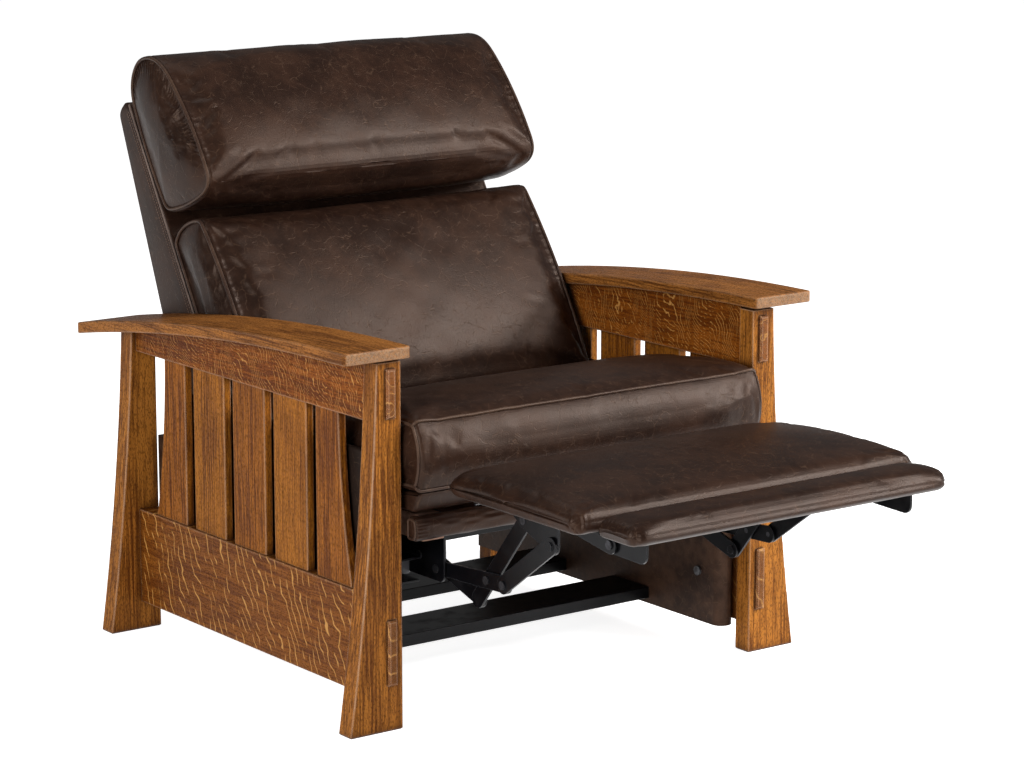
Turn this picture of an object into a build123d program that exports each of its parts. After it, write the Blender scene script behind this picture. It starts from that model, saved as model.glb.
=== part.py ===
from build123d import *
from math import cos, pi, radians, sin, sqrt
import os

os.makedirs("parts", exist_ok=True)

# A mission reclining armchair, half reclined with its footrest out.
# X runs across the chair, the sitter faces -Y, and Z is up from the floor.
# Places along the chair are measured rearward from the front face of the front legs.

SIDES = (("left", -1), ("right", 1))

# Where the front face of the front legs stands, so that the chair's box is centred
leg_front_y = -175.3

# Oak legs: a straight inner edge, and an outer edge that flares out to the foot
leg_inner_x = 356.0
leg_foot_width = 99.0
leg_waist_width = 63.0
leg_waist_height = 295.0
leg_top_width = 45.0
leg_blank_drop = 24.7
leg_depth = 35.0
leg_spacing = 742.0
edge_ease = 1.6
foot_chamfer = 2.5

# Oak arms: one long arc, level at the front and falling to the rear
arm_inner_x = 347.0
arm_width = 123.0
arm_thickness = 19.0
arm_radius = 4660.0
arm_crest_height = 614.7
arm_crest_y = -15.0
arm_front_y = -16.0
arm_rear_y = 812.0
arm_corner_radius = 7.0
arm_edge_radius = 2.4

# Oak rails with tenons that pass through the legs and stand proud
rail_thickness = 36.0
rail_inner_x = 359.0
top_rail_crest_height = 102.7
bottom_rail_bottom = 50.0
bottom_rail_height = 165.0
tenon_shoulder = 9.5
tenon_proud = 6.5
tenon_bevel = 2.6
upper_tenon_rise = 9.0
upper_tenon_height = 78.0
upper_tenon_rear_height = 16.0
lower_tenon_rise = 25.0
lower_tenon_height = 105.0

# Oak slats: three plain ones, and one at each end that flares towards its leg
slat_thickness = 15.0
slat_setback = 4.0
slat_width = 96.5
slat_pitch = 124.2
slat_count = 5
end_slat_top_width = 65.0
end_slat_middle_width = 74.5
end_slat_bottom_width = 99.0
slat_stub_length = 10.0
slat_stub_shoulder = 3.0

# Dowels that pin the arms to the legs
dowel_radius = 5.0
dowel_in_arm = 12.0
dowel_in_leg = 11.0
dowel_clearance = 0.1

# Inner side panels of the chassis, wrapped in leather, with a round front edge
panel_thickness = 36.0
panel_front_y = 38.0
panel_rear_y = 738.0
panel_bottom = 42.0
panel_top = 342.0
panel_round_share = 0.49
panel_edge_radius = 5.0

# Thin leather lining boards that stand on the bottom rails behind the slats
lining_thickness = 10.0
lining_gap = 2.0
lining_rear_y = 650.0
lining_top = 436.0
lining_round_share = 0.4

# Black cross rails between the panels
cross_rail_depth = 99.0
cross_rail_thickness = 20.5
cross_rail_bottom = 51.5
front_cross_rail_y = 229.0
rear_cross_rail_y = 465.0

# Steel seat tracks: channels on the panels, open towards the middle
track_front_y = 60.0
track_rear_y = 502.0
track_bottom = 215.0
track_height = 40.0
track_depth = 42.0
track_wall = 3.0
glide_clearance = 0.3
glide_front_y = 100.0
glide_length = 70.0
glide_spacing = 240.0

# Bolts
bolt_radius = 4.0
bolt_head_radius = 8.0
bolt_head_height = 4.0
bolt_bite = 24.0
track_bolt_length = 27.0
panel_bolt_height = 130.0
panel_bolt_places = (95.0, 290.0, 500.0, 690.0)
track_bolt_setback = 68.0

# Seat carriage: a steel plate each side, with the linkage pivots and the back hinge
plate_inner_x = 269.0
steel_thickness = 4.0
layer_gap = 1.0
plate_rear_y = 470.0
plate_bottom = 222.0
plate_top = 336.0
plate_front_round = 12.0
hinge_y = 452.0
hinge_height = 340.0
hinge_ring_radius = 15.0
seat_side_rail_bottom = 296.0
seat_side_rail_width = 40.0
seat_side_rail_rear_y = 428.0
seat_rear_rail_thickness = 22.0
upstand_thickness = 9.0
upstand_height = 34.0
seat_slat_thickness = 14.0
seat_slat_depth = 60.0
seat_slat_places = (84.0, 196.0, 308.0)
cross_tube_size = 20.0
cross_tube_y = 14.0
cross_tube_drop = 8.0

# Sinuous springs on the seat frame
spring_count = 5
spring_wire_radius = 1.9
spring_bend_radius = 13.2
spring_straight = 22.0
spring_turns = 16
spring_spacing = 105.0
spring_front_y = -8.0

# Padded front rail under the seat
front_rail_half_width = 343.0
front_rail_front_y = -19.0
front_rail_rear_y = 4.0
front_rail_bottom = 305.0
front_rail_top = 340.0
front_rail_bulge = 4.0
soft_gap = 0.4

# Seat deck and seat cushion, sloping down to the rear
deck_front_drop = 20.0
deck_front_bulge = 2.0
seat_half_width = 346.5
seat_front_y = -30.0
seat_rear_y = 372.0
seat_bottom_front = 383.0
seat_bottom_rear = 362.0
seat_welt_front_y = -23.0
seat_top_front = 500.0
seat_top_rear = 436.0
seat_top_crown = 21.0
seat_front_bulge = 17.0
seat_rear_bulge = 5.0
seat_middle_crown = 6.0
cushion_end_round = 12.0
cushion_end_inset = 12.0

# The back: measured up its face (u) and out from it (n), from a point on its face line
back_lean = 31.0
back_origin_y = 512.0
back_origin_height = 355.0
back_half_width = 338.0
shell_bottom_u = 20.0
shell_top_u = 641.0
shell_top_corner_u = 651.0
shell_top_thickness = 46.0
shell_middle_u = 293.0
shell_middle_thickness = 103.0
shell_rear_bottom_u = 160.0
shell_rear_bottom_thickness = 122.0
shell_end_inset = 5.0
back_cushion_bottom_u = 12.0
back_cushion_bottom_depth = 124.0
back_cushion_top_u = 379.0
back_cushion_top_depth = 112.0
back_cushion_top_corner_u = 393.0
back_cushion_top_corner_n = 30.0
back_cushion_bulge = 13.0
back_cushion_crown = 12.0
headrest_bottom_u = 428.0
headrest_nose_u = 401.0
headrest_nose_depth = 152.0
headrest_front_u = 445.0
headrest_front_depth = 177.0
headrest_upper_u = 640.0
headrest_upper_depth = 146.0
headrest_top_u = 697.0
headrest_top_depth = 72.0
headrest_rear_u = 648.0
headrest_seat_gap = 8.0
headrest_middle_crown = 6.0
back_bracket_reach = 118.0
back_bracket_start = 8.0
back_bracket_relief_y = 514.0
back_bracket_relief_height = 352.0
back_bracket_heel_y = 540.0
back_bracket_heel_height = 334.0
back_flange_width = 30.0

# Footrest linkage pivots, with the footrest out
lower_pivot_y = 25.7
lower_pivot_height = 241.6
short_pivot_y = 71.85
short_pivot_height = 254.99
lower_link_angle = 176.61
rear_joint_reach = 127.97
knee_reach = 176.77
rear_lift_tail = 49.0
footrest_rear_y = -64.0
footrest_underside = 391.0
rear_bracket_reach = 131.53
rear_bracket_drop = 27.61
front_bracket_reach = 206.58
front_bracket_drop = 52.72
flip_pivot_reach = 345.0
flip_pivot_drop = 22.0
pin_radius = 4.0
running_clearance = 0.08
link_end_radius = 14.0
narrow_end_radius = 11.5
rivet_head_radius = 7.0
rivet_head_height = 2.5

# Footrest and flip-out pads on their boards
pad_length = 350.0
pad_half_width = 338.0
pad_edge_height = 21.0
pad_crown = 25.0
pad_nose = 7.0
pad_middle_crown = 5.0
board_thickness = 12.0
board_margin = 18.0
board_half_width = 300.0
bracket_start = 80.0
bracket_strip = 14.0
bracket_flange = 20.0
flip_gap = 14.0
flip_length = 90.0
flip_half_width = 312.0
flip_edge_height = 28.0
flip_front_height = 19.0
flip_crown = 8.0
flip_nose = 13.0
flip_board_margin = 14.0
flip_board_thickness = 10.0
flip_bracket_reach = 66.0
flip_bracket_drop = 24.0

# Room that a cut runs past what it cuts
overrun = 5.0


def side_plane(x):
    """The plane at x whose own axes run rearward and up."""
    return Plane(origin=(x, leg_front_y, 0), x_dir=(0, 1, 0), z_dir=(1, 0, 0))


def front_plane(y):
    """The plane at y whose own axes run to the right and up, facing forward."""
    return Plane(origin=(0, leg_front_y + y, 0), x_dir=(1, 0, 0), z_dir=(0, -1, 0))


def top_plane(z):
    """The level plane at height z."""
    return Plane(origin=(0, leg_front_y, z), x_dir=(1, 0, 0), z_dir=(0, 0, 1))


def span(side, inner, outer):
    """The low and high X of a slab between two distances from the middle."""
    return sorted((side * inner, side * outer))


def block(x, y, z, mode=Mode.ADD):
    """A box between the low and high values of x, y and z, in the part being built."""
    with BuildSketch(top_plane(z[0])) as base:
        with Locations(((x[0] + x[1]) / 2, (y[0] + y[1]) / 2)):
            Rectangle(x[1] - x[0], y[1] - y[0])
    extrude(base.sketch, amount=z[1] - z[0], mode=mode)


def rod(x, centre, radius, mode=Mode.ADD):
    """A round bar along X between two values of x."""
    with BuildSketch(side_plane(x[0])) as base:
        with Locations(centre):
            Circle(radius)
    extrude(base.sketch, amount=x[1] - x[0], mode=mode)


def bolt_holes(side, shank, places, height):
    """Holes for a row of bolts along X."""
    for y in places:
        rod(span(side, *shank), (y, height), bolt_radius, Mode.SUBTRACT)


def bolts(side, shank, places, height):
    """A row of bolts driven outward along X, their heads on the inner side."""
    for y in places:
        rod(span(side, *shank), (y, height), bolt_radius)
        head_x = span(side, shank[0] - bolt_head_height, shank[0])
        rod(head_x, (y, height), bolt_head_radius)


def rounded_bar(x, circles, holes=()):
    """A flat bar: the hull of circles given as (centre, radius), with round holes."""
    with BuildSketch(side_plane(x[0])) as bar:
        for centre, radius in circles:
            with Locations(centre):
                Circle(radius)
        make_hull()
        for centre, radius in holes:
            with Locations(centre):
                Circle(radius, mode=Mode.SUBTRACT)
    extrude(bar.sketch, amount=x[1] - x[0])


def soft_outline(corners, bulges, inset=0):
    """Edges of a closed outline whose sides bow out by the bulges, drawn in by the inset."""
    centre = sum((Vector(*corner) for corner in corners), Vector(0, 0)) / len(corners)
    moved = []
    for corner in corners:
        inward = centre - Vector(*corner)
        moved.append(Vector(*corner) + inward.normalized() * inset)
    with BuildLine() as outline:
        for start, end, bulge in zip(moved, moved[1:] + moved[:1], bulges):
            if bulge == 0:
                Line(start, end)
            else:
                along = end - start
                outward = Vector(along.Y, -along.X).normalized()
                ThreePointArc(start, (start + end) / 2 + outward * bulge, end)
    return outline.edges()


def soft_body(half_width, corners, bulges, middle_bulges, end_round, end_inset):
    """A crowned cushion along X: a full middle, and ends that draw in."""
    shoulder = half_width - end_round
    for sections in (
        ((-shoulder, bulges, 0), (0, middle_bulges, 0), (shoulder, bulges, 0)),
        ((-half_width, bulges, end_inset), (-shoulder, bulges, 0)),
        ((shoulder, bulges, 0), (half_width, bulges, end_inset)),
    ):
        outlines = []
        for x, section_bulges, inset in sections:
            with BuildSketch(side_plane(x)) as section:
                make_face(soft_outline(corners, section_bulges, inset))
            outlines.append(section.sketch)
        loft(outlines)


def finish(builder, name):
    """Names a finished piece and writes it."""
    builder.part.label = name
    export_step(builder.part, f"parts/{name}.step")


# Oak side frames
leg_rear_y = leg_spacing + leg_depth
leg_blank_height = arm_crest_height - leg_blank_drop
top_rail_bottom = arm_crest_height - arm_thickness - top_rail_crest_height
rail_outer_x = rail_inner_x + rail_thickness
panel_outer_x = rail_inner_x
panel_inner_x = panel_outer_x - panel_thickness
panel_bolt_x = (panel_inner_x, panel_outer_x + bolt_bite)
track_bolt_x = (
    panel_inner_x - track_wall,
    panel_inner_x - track_wall + track_bolt_length,
)
rear_glide_y = glide_front_y + glide_spacing
track_bolt_places = (
    (glide_front_y + glide_length + rear_glide_y) / 2,
    rear_glide_y + glide_length + track_bolt_setback,
)
tenon_x = (rail_inner_x + tenon_shoulder, rail_outer_x - tenon_shoulder)
bottom_rail_top = bottom_rail_bottom + bottom_rail_height
slat_outer_x = rail_outer_x - slat_setback
slat_inner_x = slat_outer_x - slat_thickness
arm_outer_x = arm_inner_x + arm_width


def arm_height(y, drop=0):
    """Height of the arm's top arc at y, or of the parallel arc that lies lower by drop."""
    radius = arm_radius - drop
    return arm_crest_height - arm_radius + sqrt(radius**2 - (y - arm_crest_y) ** 2)


def arm_arc(start_y, end_y, drop=0):
    """Start, middle and end of the arm's arc between two places, in the side view."""
    middle_y = (start_y + end_y) / 2
    return [(y, arm_height(y, drop)) for y in (start_y, middle_y, end_y)]


def cut_above_arm_underside():
    """Takes away what would stand above the arm's underside."""
    start_y = arm_front_y - overrun
    end_y = arm_rear_y + overrun
    ceiling = arm_crest_height + leg_blank_height
    with BuildSketch(side_plane(0)) as above:
        with BuildLine():
            under = ThreePointArc(*arm_arc(start_y, end_y, arm_thickness))
            Polyline(under @ 1, (end_y, ceiling), (start_y, ceiling), under @ 0)
        make_face()
    reach = arm_outer_x + overrun
    extrude(above.sketch, amount=reach, both=True, mode=Mode.SUBTRACT)


upper_tenon_z = (
    top_rail_bottom + upper_tenon_rise,
    top_rail_bottom + upper_tenon_rise + upper_tenon_height,
)
upper_tenon_rear_z = (upper_tenon_z[0], upper_tenon_z[0] + upper_tenon_rear_height)
lower_tenon_z = (
    bottom_rail_bottom + lower_tenon_rise,
    bottom_rail_bottom + lower_tenon_rise + lower_tenon_height,
)
dowel_x = leg_inner_x + leg_top_width / 2
front_dowel_y = leg_depth / 2
rear_dowel_y = leg_spacing + leg_depth / 2


def dowel_span(y):
    """Bottom and top of a dowel at y: some in the leg, the rest in the arm."""
    seat = arm_height(y, arm_thickness)
    return (seat - dowel_in_leg, seat + dowel_in_arm)


def dowel(side, y, radius, mode=Mode.ADD):
    """A round dowel between the leg at y and the arm, or its hole."""
    bottom, top = dowel_span(y)
    with BuildSketch(top_plane(bottom)) as base:
        with Locations((side * dowel_x, y)):
            Circle(radius)
    extrude(base.sketch, amount=top - bottom, mode=mode)


def leg(side, front_y, upper_z):
    """One leg, with its mortises for the rails' through tenons and its dowel hole."""
    foot_x = leg_inner_x + leg_foot_width
    waist_x = leg_inner_x + leg_waist_width
    top_x = leg_inner_x + leg_top_width
    with BuildSketch(front_plane(front_y)) as blank:
        with BuildLine():
            flare = ThreePointArc(
                (side * foot_x, 0),
                (side * waist_x, leg_waist_height),
                (side * top_x, leg_blank_height),
            )
            Polyline(
                flare @ 1,
                (side * leg_inner_x, leg_blank_height),
                (side * leg_inner_x, 0),
                flare @ 0,
            )
        make_face()
    extrude(blank.sketch, amount=-leg_depth)
    chamfer(faces().sort_by(Axis.Z)[0].edges(), foot_chamfer)
    long_edges = [
        edge
        for edge in edges()
        if edge.bounding_box().size.Z > leg_blank_height - leg_depth
    ]
    fillet(long_edges, edge_ease)
    cut_above_arm_underside()
    for z in (upper_z, lower_tenon_z):
        mortise_y = (front_y - overrun, front_y + leg_depth + overrun)
        block(span(side, *tenon_x), mortise_y, z, Mode.SUBTRACT)
    dowel(side, front_y + leg_depth / 2, dowel_radius + dowel_clearance, Mode.SUBTRACT)


def tenons(side, front_z, rear_z):
    """The through tenons at both ends of a rail, with bevelled proud ends."""
    x = span(side, *tenon_x)
    block(x, (-tenon_proud, leg_depth), front_z)
    block(x, (leg_spacing, leg_rear_y + tenon_proud), rear_z)
    ends = faces().filter_by(Axis.Y).sort_by(Axis.Y)
    chamfer(ends[0].edges() + ends[-1].edges(), tenon_bevel)


slat_middle = (leg_depth + leg_spacing) / 2
slat_centres = [
    slat_middle + (index - (slat_count - 1) / 2) * slat_pitch
    for index in range(slat_count)
]


def slat_edges(index, end_width):
    """Front and rear edge of a slat whose end slats are end_width wide."""
    front = slat_centres[index] - slat_width / 2
    rear = slat_centres[index] + slat_width / 2
    if index == 0:
        front = rear - end_width
    if index == slat_count - 1:
        rear = front + end_width
    return front, rear


def slat_stub(side, index, end_width, z, mode=Mode.ADD):
    """The stub tenon of one slat in a rail, or its pocket."""
    inner_x = slat_inner_x + slat_stub_shoulder
    outer_x = slat_outer_x - slat_stub_shoulder
    front, rear = slat_edges(index, end_width)
    stub_y = (front + slat_stub_shoulder, rear - slat_stub_shoulder)
    block(span(side, inner_x, outer_x), stub_y, z, mode)


def slat_pockets(side, end_width, z):
    """The pockets of all the slats in one rail."""
    for index in range(slat_count):
        slat_stub(side, index, end_width, z, Mode.SUBTRACT)


for side_name, side in SIDES:
    with BuildPart() as front_leg:
        leg(side, 0, upper_tenon_z)
    finish(front_leg, f"front_leg_{side_name}")

    with BuildPart() as rear_leg:
        leg(side, leg_spacing, upper_tenon_rear_z)
    finish(rear_leg, f"rear_leg_{side_name}")

    with BuildPart() as arm:
        arm_x = span(side, arm_inner_x, arm_outer_x)
        with BuildSketch(side_plane(arm_x[0])):
            with BuildLine():
                arm_top = ThreePointArc(*arm_arc(arm_front_y, arm_rear_y))
                arm_under = ThreePointArc(*arm_arc(arm_front_y, arm_rear_y, arm_thickness))
                Line(arm_top @ 0, arm_under @ 0)
                Line(arm_top @ 1, arm_under @ 1)
            make_face()
        extrude(amount=arm_width)
        fillet(edges().filter_by(Axis.Z), arm_corner_radius)
        top_rim = faces().filter_by(GeomType.CYLINDER).sort_by(SortBy.AREA)[-2:]
        fillet(top_rim.edges(), arm_edge_radius)
        for dowel_y in (front_dowel_y, rear_dowel_y):
            dowel(side, dowel_y, dowel_radius + dowel_clearance, Mode.SUBTRACT)
    finish(arm, f"arm_{side_name}")

    rail_x = span(side, rail_inner_x, rail_outer_x)
    with BuildPart() as top_rail:
        block(rail_x, (leg_depth, leg_spacing), (top_rail_bottom, arm_crest_height))
        cut_above_arm_underside()
        bottom_edges = edges().filter_by(Axis.Y).group_by(Axis.Z)[0]
        fillet(bottom_edges, edge_ease)
        tenons(side, upper_tenon_z, upper_tenon_rear_z)
        pocket_z = (top_rail_bottom - overrun, top_rail_bottom + slat_stub_length)
        slat_pockets(side, end_slat_top_width, pocket_z)
    finish(top_rail, f"top_rail_{side_name}")

    with BuildPart() as bottom_rail:
        block(rail_x, (leg_depth, leg_spacing), (bottom_rail_bottom, bottom_rail_top))
        fillet(edges().filter_by(Axis.Y), edge_ease)
        tenons(side, lower_tenon_z, lower_tenon_z)
        pocket_z = (bottom_rail_top - slat_stub_length, bottom_rail_top + overrun)
        slat_pockets(side, end_slat_bottom_width, pocket_z)
        bolt_holes(side, panel_bolt_x, panel_bolt_places, panel_bolt_height)
    finish(bottom_rail, f"bottom_rail_{side_name}")

    for index in range(slat_count):
        middle_z = (bottom_rail_top + top_rail_bottom) / 2
        widths = (end_slat_bottom_width, end_slat_middle_width, end_slat_top_width)
        fronts, rears = zip(*(slat_edges(index, width) for width in widths))
        slat_z = (bottom_rail_top, middle_z, top_rail_bottom)
        slat_x = span(side, slat_inner_x, slat_outer_x)
        with BuildPart() as slat:
            with BuildSketch(side_plane(slat_x[0])):
                with BuildLine():
                    if index == 0:
                        front_edge = Spline(*zip(fronts, slat_z))
                    else:
                        front_edge = Line((fronts[0], slat_z[0]), (fronts[2], slat_z[2]))
                    if index == slat_count - 1:
                        rear_edge = Spline(*zip(rears, slat_z))
                    else:
                        rear_edge = Line((rears[0], slat_z[0]), (rears[2], slat_z[2]))
                    Line(front_edge @ 0, rear_edge @ 0)
                    Line(front_edge @ 1, rear_edge @ 1)
                make_face()
            extrude(amount=slat_thickness)
            slat_length = top_rail_bottom - bottom_rail_top
            upright = [
                edge for edge in edges() if edge.bounding_box().size.Z > slat_length / 2
            ]
            fillet(upright, edge_ease)
            for end_width, stub_z in (
                (end_slat_bottom_width, (bottom_rail_top - slat_stub_length, bottom_rail_top)),
                (end_slat_top_width, (top_rail_bottom, top_rail_bottom + slat_stub_length)),
            ):
                slat_stub(side, index, end_width, stub_z)
        finish(slat, f"slat_{side_name}_{index + 1}")

with BuildPart() as arm_dowels:
    for _, side in SIDES:
        for dowel_y in (front_dowel_y, rear_dowel_y):
            dowel(side, dowel_y, dowel_radius)
finish(arm_dowels, "arm_dowels")

# Chassis
track_inner_x = panel_inner_x - track_depth
track_top = track_bottom + track_height
track_bolt_height = track_bottom + track_height / 2
glide_outer_x = panel_inner_x - track_wall - glide_clearance
plate_outer_x = plate_inner_x + steel_thickness


for side_name, side in SIDES:
    with BuildPart() as side_panel:
        panel_x = span(side, panel_inner_x, panel_outer_x)
        block(panel_x, (panel_front_y, panel_rear_y), (panel_bottom, panel_top))
        fillet(
            edges().filter_by(Axis.Z).group_by(Axis.Y)[0],
            panel_thickness * panel_round_share,
        )
        fillet(edges().filter_by(Axis.Z).group_by(Axis.Y)[-1], panel_edge_radius)
        bolt_holes(side, panel_bolt_x, panel_bolt_places, panel_bolt_height)
        bolt_holes(side, track_bolt_x, track_bolt_places, track_bolt_height)
    finish(side_panel, f"side_panel_{side_name}")

    with BuildPart() as side_lining:
        lining_inner_x = panel_outer_x + lining_gap
        lining_x = span(side, lining_inner_x, lining_inner_x + lining_thickness)
        block(lining_x, (panel_front_y, lining_rear_y), (bottom_rail_top, lining_top))
        top_edges = edges().group_by(Axis.Z)[-1]
        fillet(top_edges.filter_by(Axis.Y), lining_thickness * lining_round_share)
    finish(side_lining, f"side_lining_{side_name}")

    with BuildPart() as track:
        track_x = span(side, track_inner_x, panel_inner_x)
        hollow_x = span(side, track_inner_x - overrun, panel_inner_x - track_wall)
        track_y = (track_front_y, track_rear_y)
        block(track_x, track_y, (track_bottom, track_top))
        hollow_z = (track_bottom + track_wall, track_top - track_wall)
        hollow_y = (track_front_y - overrun, track_rear_y + overrun)
        block(hollow_x, hollow_y, hollow_z, Mode.SUBTRACT)
        bolt_holes(side, track_bolt_x, track_bolt_places, track_bolt_height)
    finish(track, f"seat_track_{side_name}")

for rail_name, rail_y in (("front", front_cross_rail_y), ("rear", rear_cross_rail_y)):
    with BuildPart() as cross_rail:
        block(
            (-panel_inner_x, panel_inner_x),
            (rail_y, rail_y + cross_rail_depth),
            (cross_rail_bottom, cross_rail_bottom + cross_rail_thickness),
        )
        fillet(edges().filter_by(Axis.X), edge_ease)
    finish(cross_rail, f"cross_rail_{rail_name}")

with BuildPart() as frame_bolts:
    for _, side in SIDES:
        bolts(side, panel_bolt_x, panel_bolt_places, panel_bolt_height)
        bolts(side, track_bolt_x, track_bolt_places, track_bolt_height)
finish(frame_bolts, "frame_bolts")

# Footrest linkage pivots in the side view
link_direction = Vector(cos(radians(lower_link_angle)), sin(radians(lower_link_angle)))
lower_pivot = Vector(lower_pivot_y, lower_pivot_height)
short_pivot = Vector(short_pivot_y, short_pivot_height)
rear_joint = lower_pivot + link_direction * rear_joint_reach
knee_joint = lower_pivot + link_direction * knee_reach


def under_footrest(reach, drop):
    """A point measured forward and down from the footrest board's rear lower edge."""
    return Vector(footrest_rear_y - reach, footrest_underside - drop)


rear_bracket_joint = under_footrest(rear_bracket_reach, rear_bracket_drop)
front_bracket_joint = under_footrest(front_bracket_reach, front_bracket_drop)
flip_pivot = under_footrest(flip_pivot_reach, flip_pivot_drop)
lift_direction = (rear_bracket_joint - rear_joint).normalized()
tail_joint = rear_joint - lift_direction * rear_lift_tail
hinge = Vector(hinge_y, hinge_height)
hole_radius = pin_radius + running_clearance


def layer(number):
    """Nearest and furthest X of a flat link, counted inward from the seat plate."""
    inner = plate_inner_x - number * (steel_thickness + layer_gap)
    return (inner, inner + steel_thickness)


def flat(point):
    """A side-view point as a plain pair."""
    return (point.X, point.Y)


# Seat carriage
for side_name, side in SIDES:
    with BuildPart() as seat_plate:
        plate_x = span(side, *layer(0))
        with BuildSketch(side_plane(plate_x[0])):
            with BuildLine():
                Polyline(
                    (front_rail_rear_y, plate_bottom),
                    (plate_rear_y, plate_bottom),
                    (plate_rear_y, hinge_height),
                    (plate_rear_y - 2 * hinge_ring_radius, hinge_height),
                    (plate_rear_y - 2 * hinge_ring_radius, plate_top),
                    (front_rail_rear_y, plate_top),
                    close=True,
                )
            make_face()
            fillet(vertices().group_by(Axis.X)[0], plate_front_round)
            with Locations(flat(hinge)):
                Circle(hinge_ring_radius)
            for centre in (lower_pivot, short_pivot, hinge):
                with Locations(flat(centre)):
                    Circle(pin_radius, mode=Mode.SUBTRACT)
        extrude(amount=steel_thickness)
    finish(seat_plate, f"seat_plate_{side_name}")

with BuildPart() as seat_glides:
    for _, side in SIDES:
        for glide_y in (glide_front_y, rear_glide_y):
            block(
                span(side, plate_outer_x, glide_outer_x),
                (glide_y, glide_y + glide_length),
                (
                    track_bottom + track_wall + glide_clearance,
                    track_top - track_wall - glide_clearance,
                ),
            )
finish(seat_glides, "seat_glides")

seat_side_rail_x = (plate_outer_x, plate_outer_x + seat_side_rail_width)
with BuildPart() as seat_side_rails:
    for _, side in SIDES:
        block(
            span(side, *seat_side_rail_x),
            (front_rail_rear_y, seat_side_rail_rear_y),
            (seat_side_rail_bottom, plate_top),
        )
finish(seat_side_rails, "seat_side_rails")

front_rail_crest = front_rail_top + front_rail_bulge / 2
with BuildPart() as seat_rear_rail:
    block(
        (-plate_inner_x, plate_inner_x),
        (seat_side_rail_rear_y - seat_rear_rail_thickness, seat_side_rail_rear_y),
        (seat_side_rail_bottom, front_rail_crest),
    )
    block(
        (-plate_inner_x, plate_inner_x),
        (seat_side_rail_rear_y - upstand_thickness, seat_side_rail_rear_y),
        (front_rail_crest, front_rail_crest + upstand_height),
    )
finish(seat_rear_rail, "seat_rear_rail")

with BuildPart() as seat_slats:
    for slat_y in seat_slat_places:
        block(
            (-plate_inner_x, plate_inner_x),
            (slat_y, slat_y + seat_slat_depth),
            (seat_side_rail_bottom, seat_side_rail_bottom + seat_slat_thickness),
        )
finish(seat_slats, "seat_slats")

with BuildPart() as seat_cross_tube:
    tube_y = (cross_tube_y, cross_tube_y + cross_tube_size)
    tube_bottom = seat_side_rail_bottom - cross_tube_drop
    tube_z = (tube_bottom, tube_bottom + cross_tube_size)
    block((-plate_inner_x, plate_inner_x), tube_y, tube_z)
finish(seat_cross_tube, "seat_cross_tube")

spring_height = front_rail_crest + soft_gap + spring_wire_radius
deck_bottom = spring_height + spring_wire_radius + soft_gap
sample_step = spring_wire_radius / 2


def least_gap_to_itself(path, wire_radius, bend_radius, step):
    """The narrowest gap between stretches of one wire that lie a whole bend apart."""
    count = int(path.length / step)
    points = [path @ (index / count) for index in range(count + 1)]
    apart = int(pi * bend_radius / step)
    nearest = min(
        (points[i] - points[j]).length
        for i in range(0, count, 2)
        for j in range(i + apart, count + 1, 2)
    )
    return nearest - 2 * wire_radius


with BuildPart() as seat_springs:
    half_run = spring_straight / 2
    for index in range(spring_count):
        spring_x = (index - (spring_count - 1) / 2) * spring_spacing
        with BuildLine(top_plane(spring_height)) as wire:
            run_y = spring_front_y
            heading = 1
            for turn in range(spring_turns):
                near_x = spring_x - heading * half_run
                far_x = spring_x + heading * half_run
                Line((near_x, run_y), (far_x, run_y))
                ThreePointArc(
                    (far_x, run_y),
                    (far_x + heading * spring_bend_radius, run_y + spring_bend_radius),
                    (far_x, run_y + 2 * spring_bend_radius),
                )
                run_y += 2 * spring_bend_radius
                heading = -heading
            Line(
                (spring_x - heading * half_run, run_y),
                (spring_x + heading * half_run, run_y),
            )
        with BuildSketch(Plane(origin=wire.wire() @ 0, z_dir=wire.wire() % 0)):
            Circle(spring_wire_radius)
        sweep()
        if index == 0:
            spring_gap = least_gap_to_itself(
                wire.wire(), spring_wire_radius, spring_bend_radius, sample_step
            )
            print(f"least gap of a spring to itself {spring_gap:.2f}")
finish(seat_springs, "seat_springs")

with BuildPart() as seat_front_rail:
    rail_corners = (
        (front_rail_front_y, front_rail_bottom),
        (front_rail_rear_y, front_rail_bottom),
        (front_rail_rear_y, front_rail_top),
        (front_rail_front_y, front_rail_top),
    )
    half_bulge = front_rail_bulge / 2
    rail_bulges = (half_bulge, 0, half_bulge, front_rail_bulge)
    soft_body(
        front_rail_half_width,
        rail_corners,
        rail_bulges,
        rail_bulges,
        cushion_end_round / 2,
        front_rail_bulge,
    )
finish(seat_front_rail, "seat_front_rail")

seat_corners = (
    (seat_front_y, seat_bottom_front),
    (seat_rear_y, seat_bottom_rear),
    (seat_rear_y, seat_top_rear),
    (seat_welt_front_y, seat_top_front),
)
with BuildPart() as seat_cushion:
    soft_body(
        seat_half_width,
        seat_corners,
        (0, seat_rear_bulge, seat_top_crown, seat_front_bulge),
        (
            0,
            seat_rear_bulge,
            seat_top_crown + seat_middle_crown,
            seat_front_bulge + seat_middle_crown,
        ),
        cushion_end_round,
        cushion_end_inset,
    )
finish(seat_cushion, "seat_cushion")

with BuildPart() as seat_deck:
    deck_corners = (
        (seat_front_y + deck_front_drop, deck_bottom),
        (seat_rear_y, deck_bottom),
        (seat_rear_y, seat_bottom_rear - soft_gap),
        (seat_front_y, seat_bottom_front - soft_gap),
    )
    deck_bulges = (0, 0, 0, deck_front_bulge)
    soft_body(
        front_rail_half_width,
        deck_corners,
        deck_bulges,
        deck_bulges,
        cushion_end_round / 2,
        front_rail_bulge,
    )
finish(seat_deck, "seat_deck")

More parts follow.
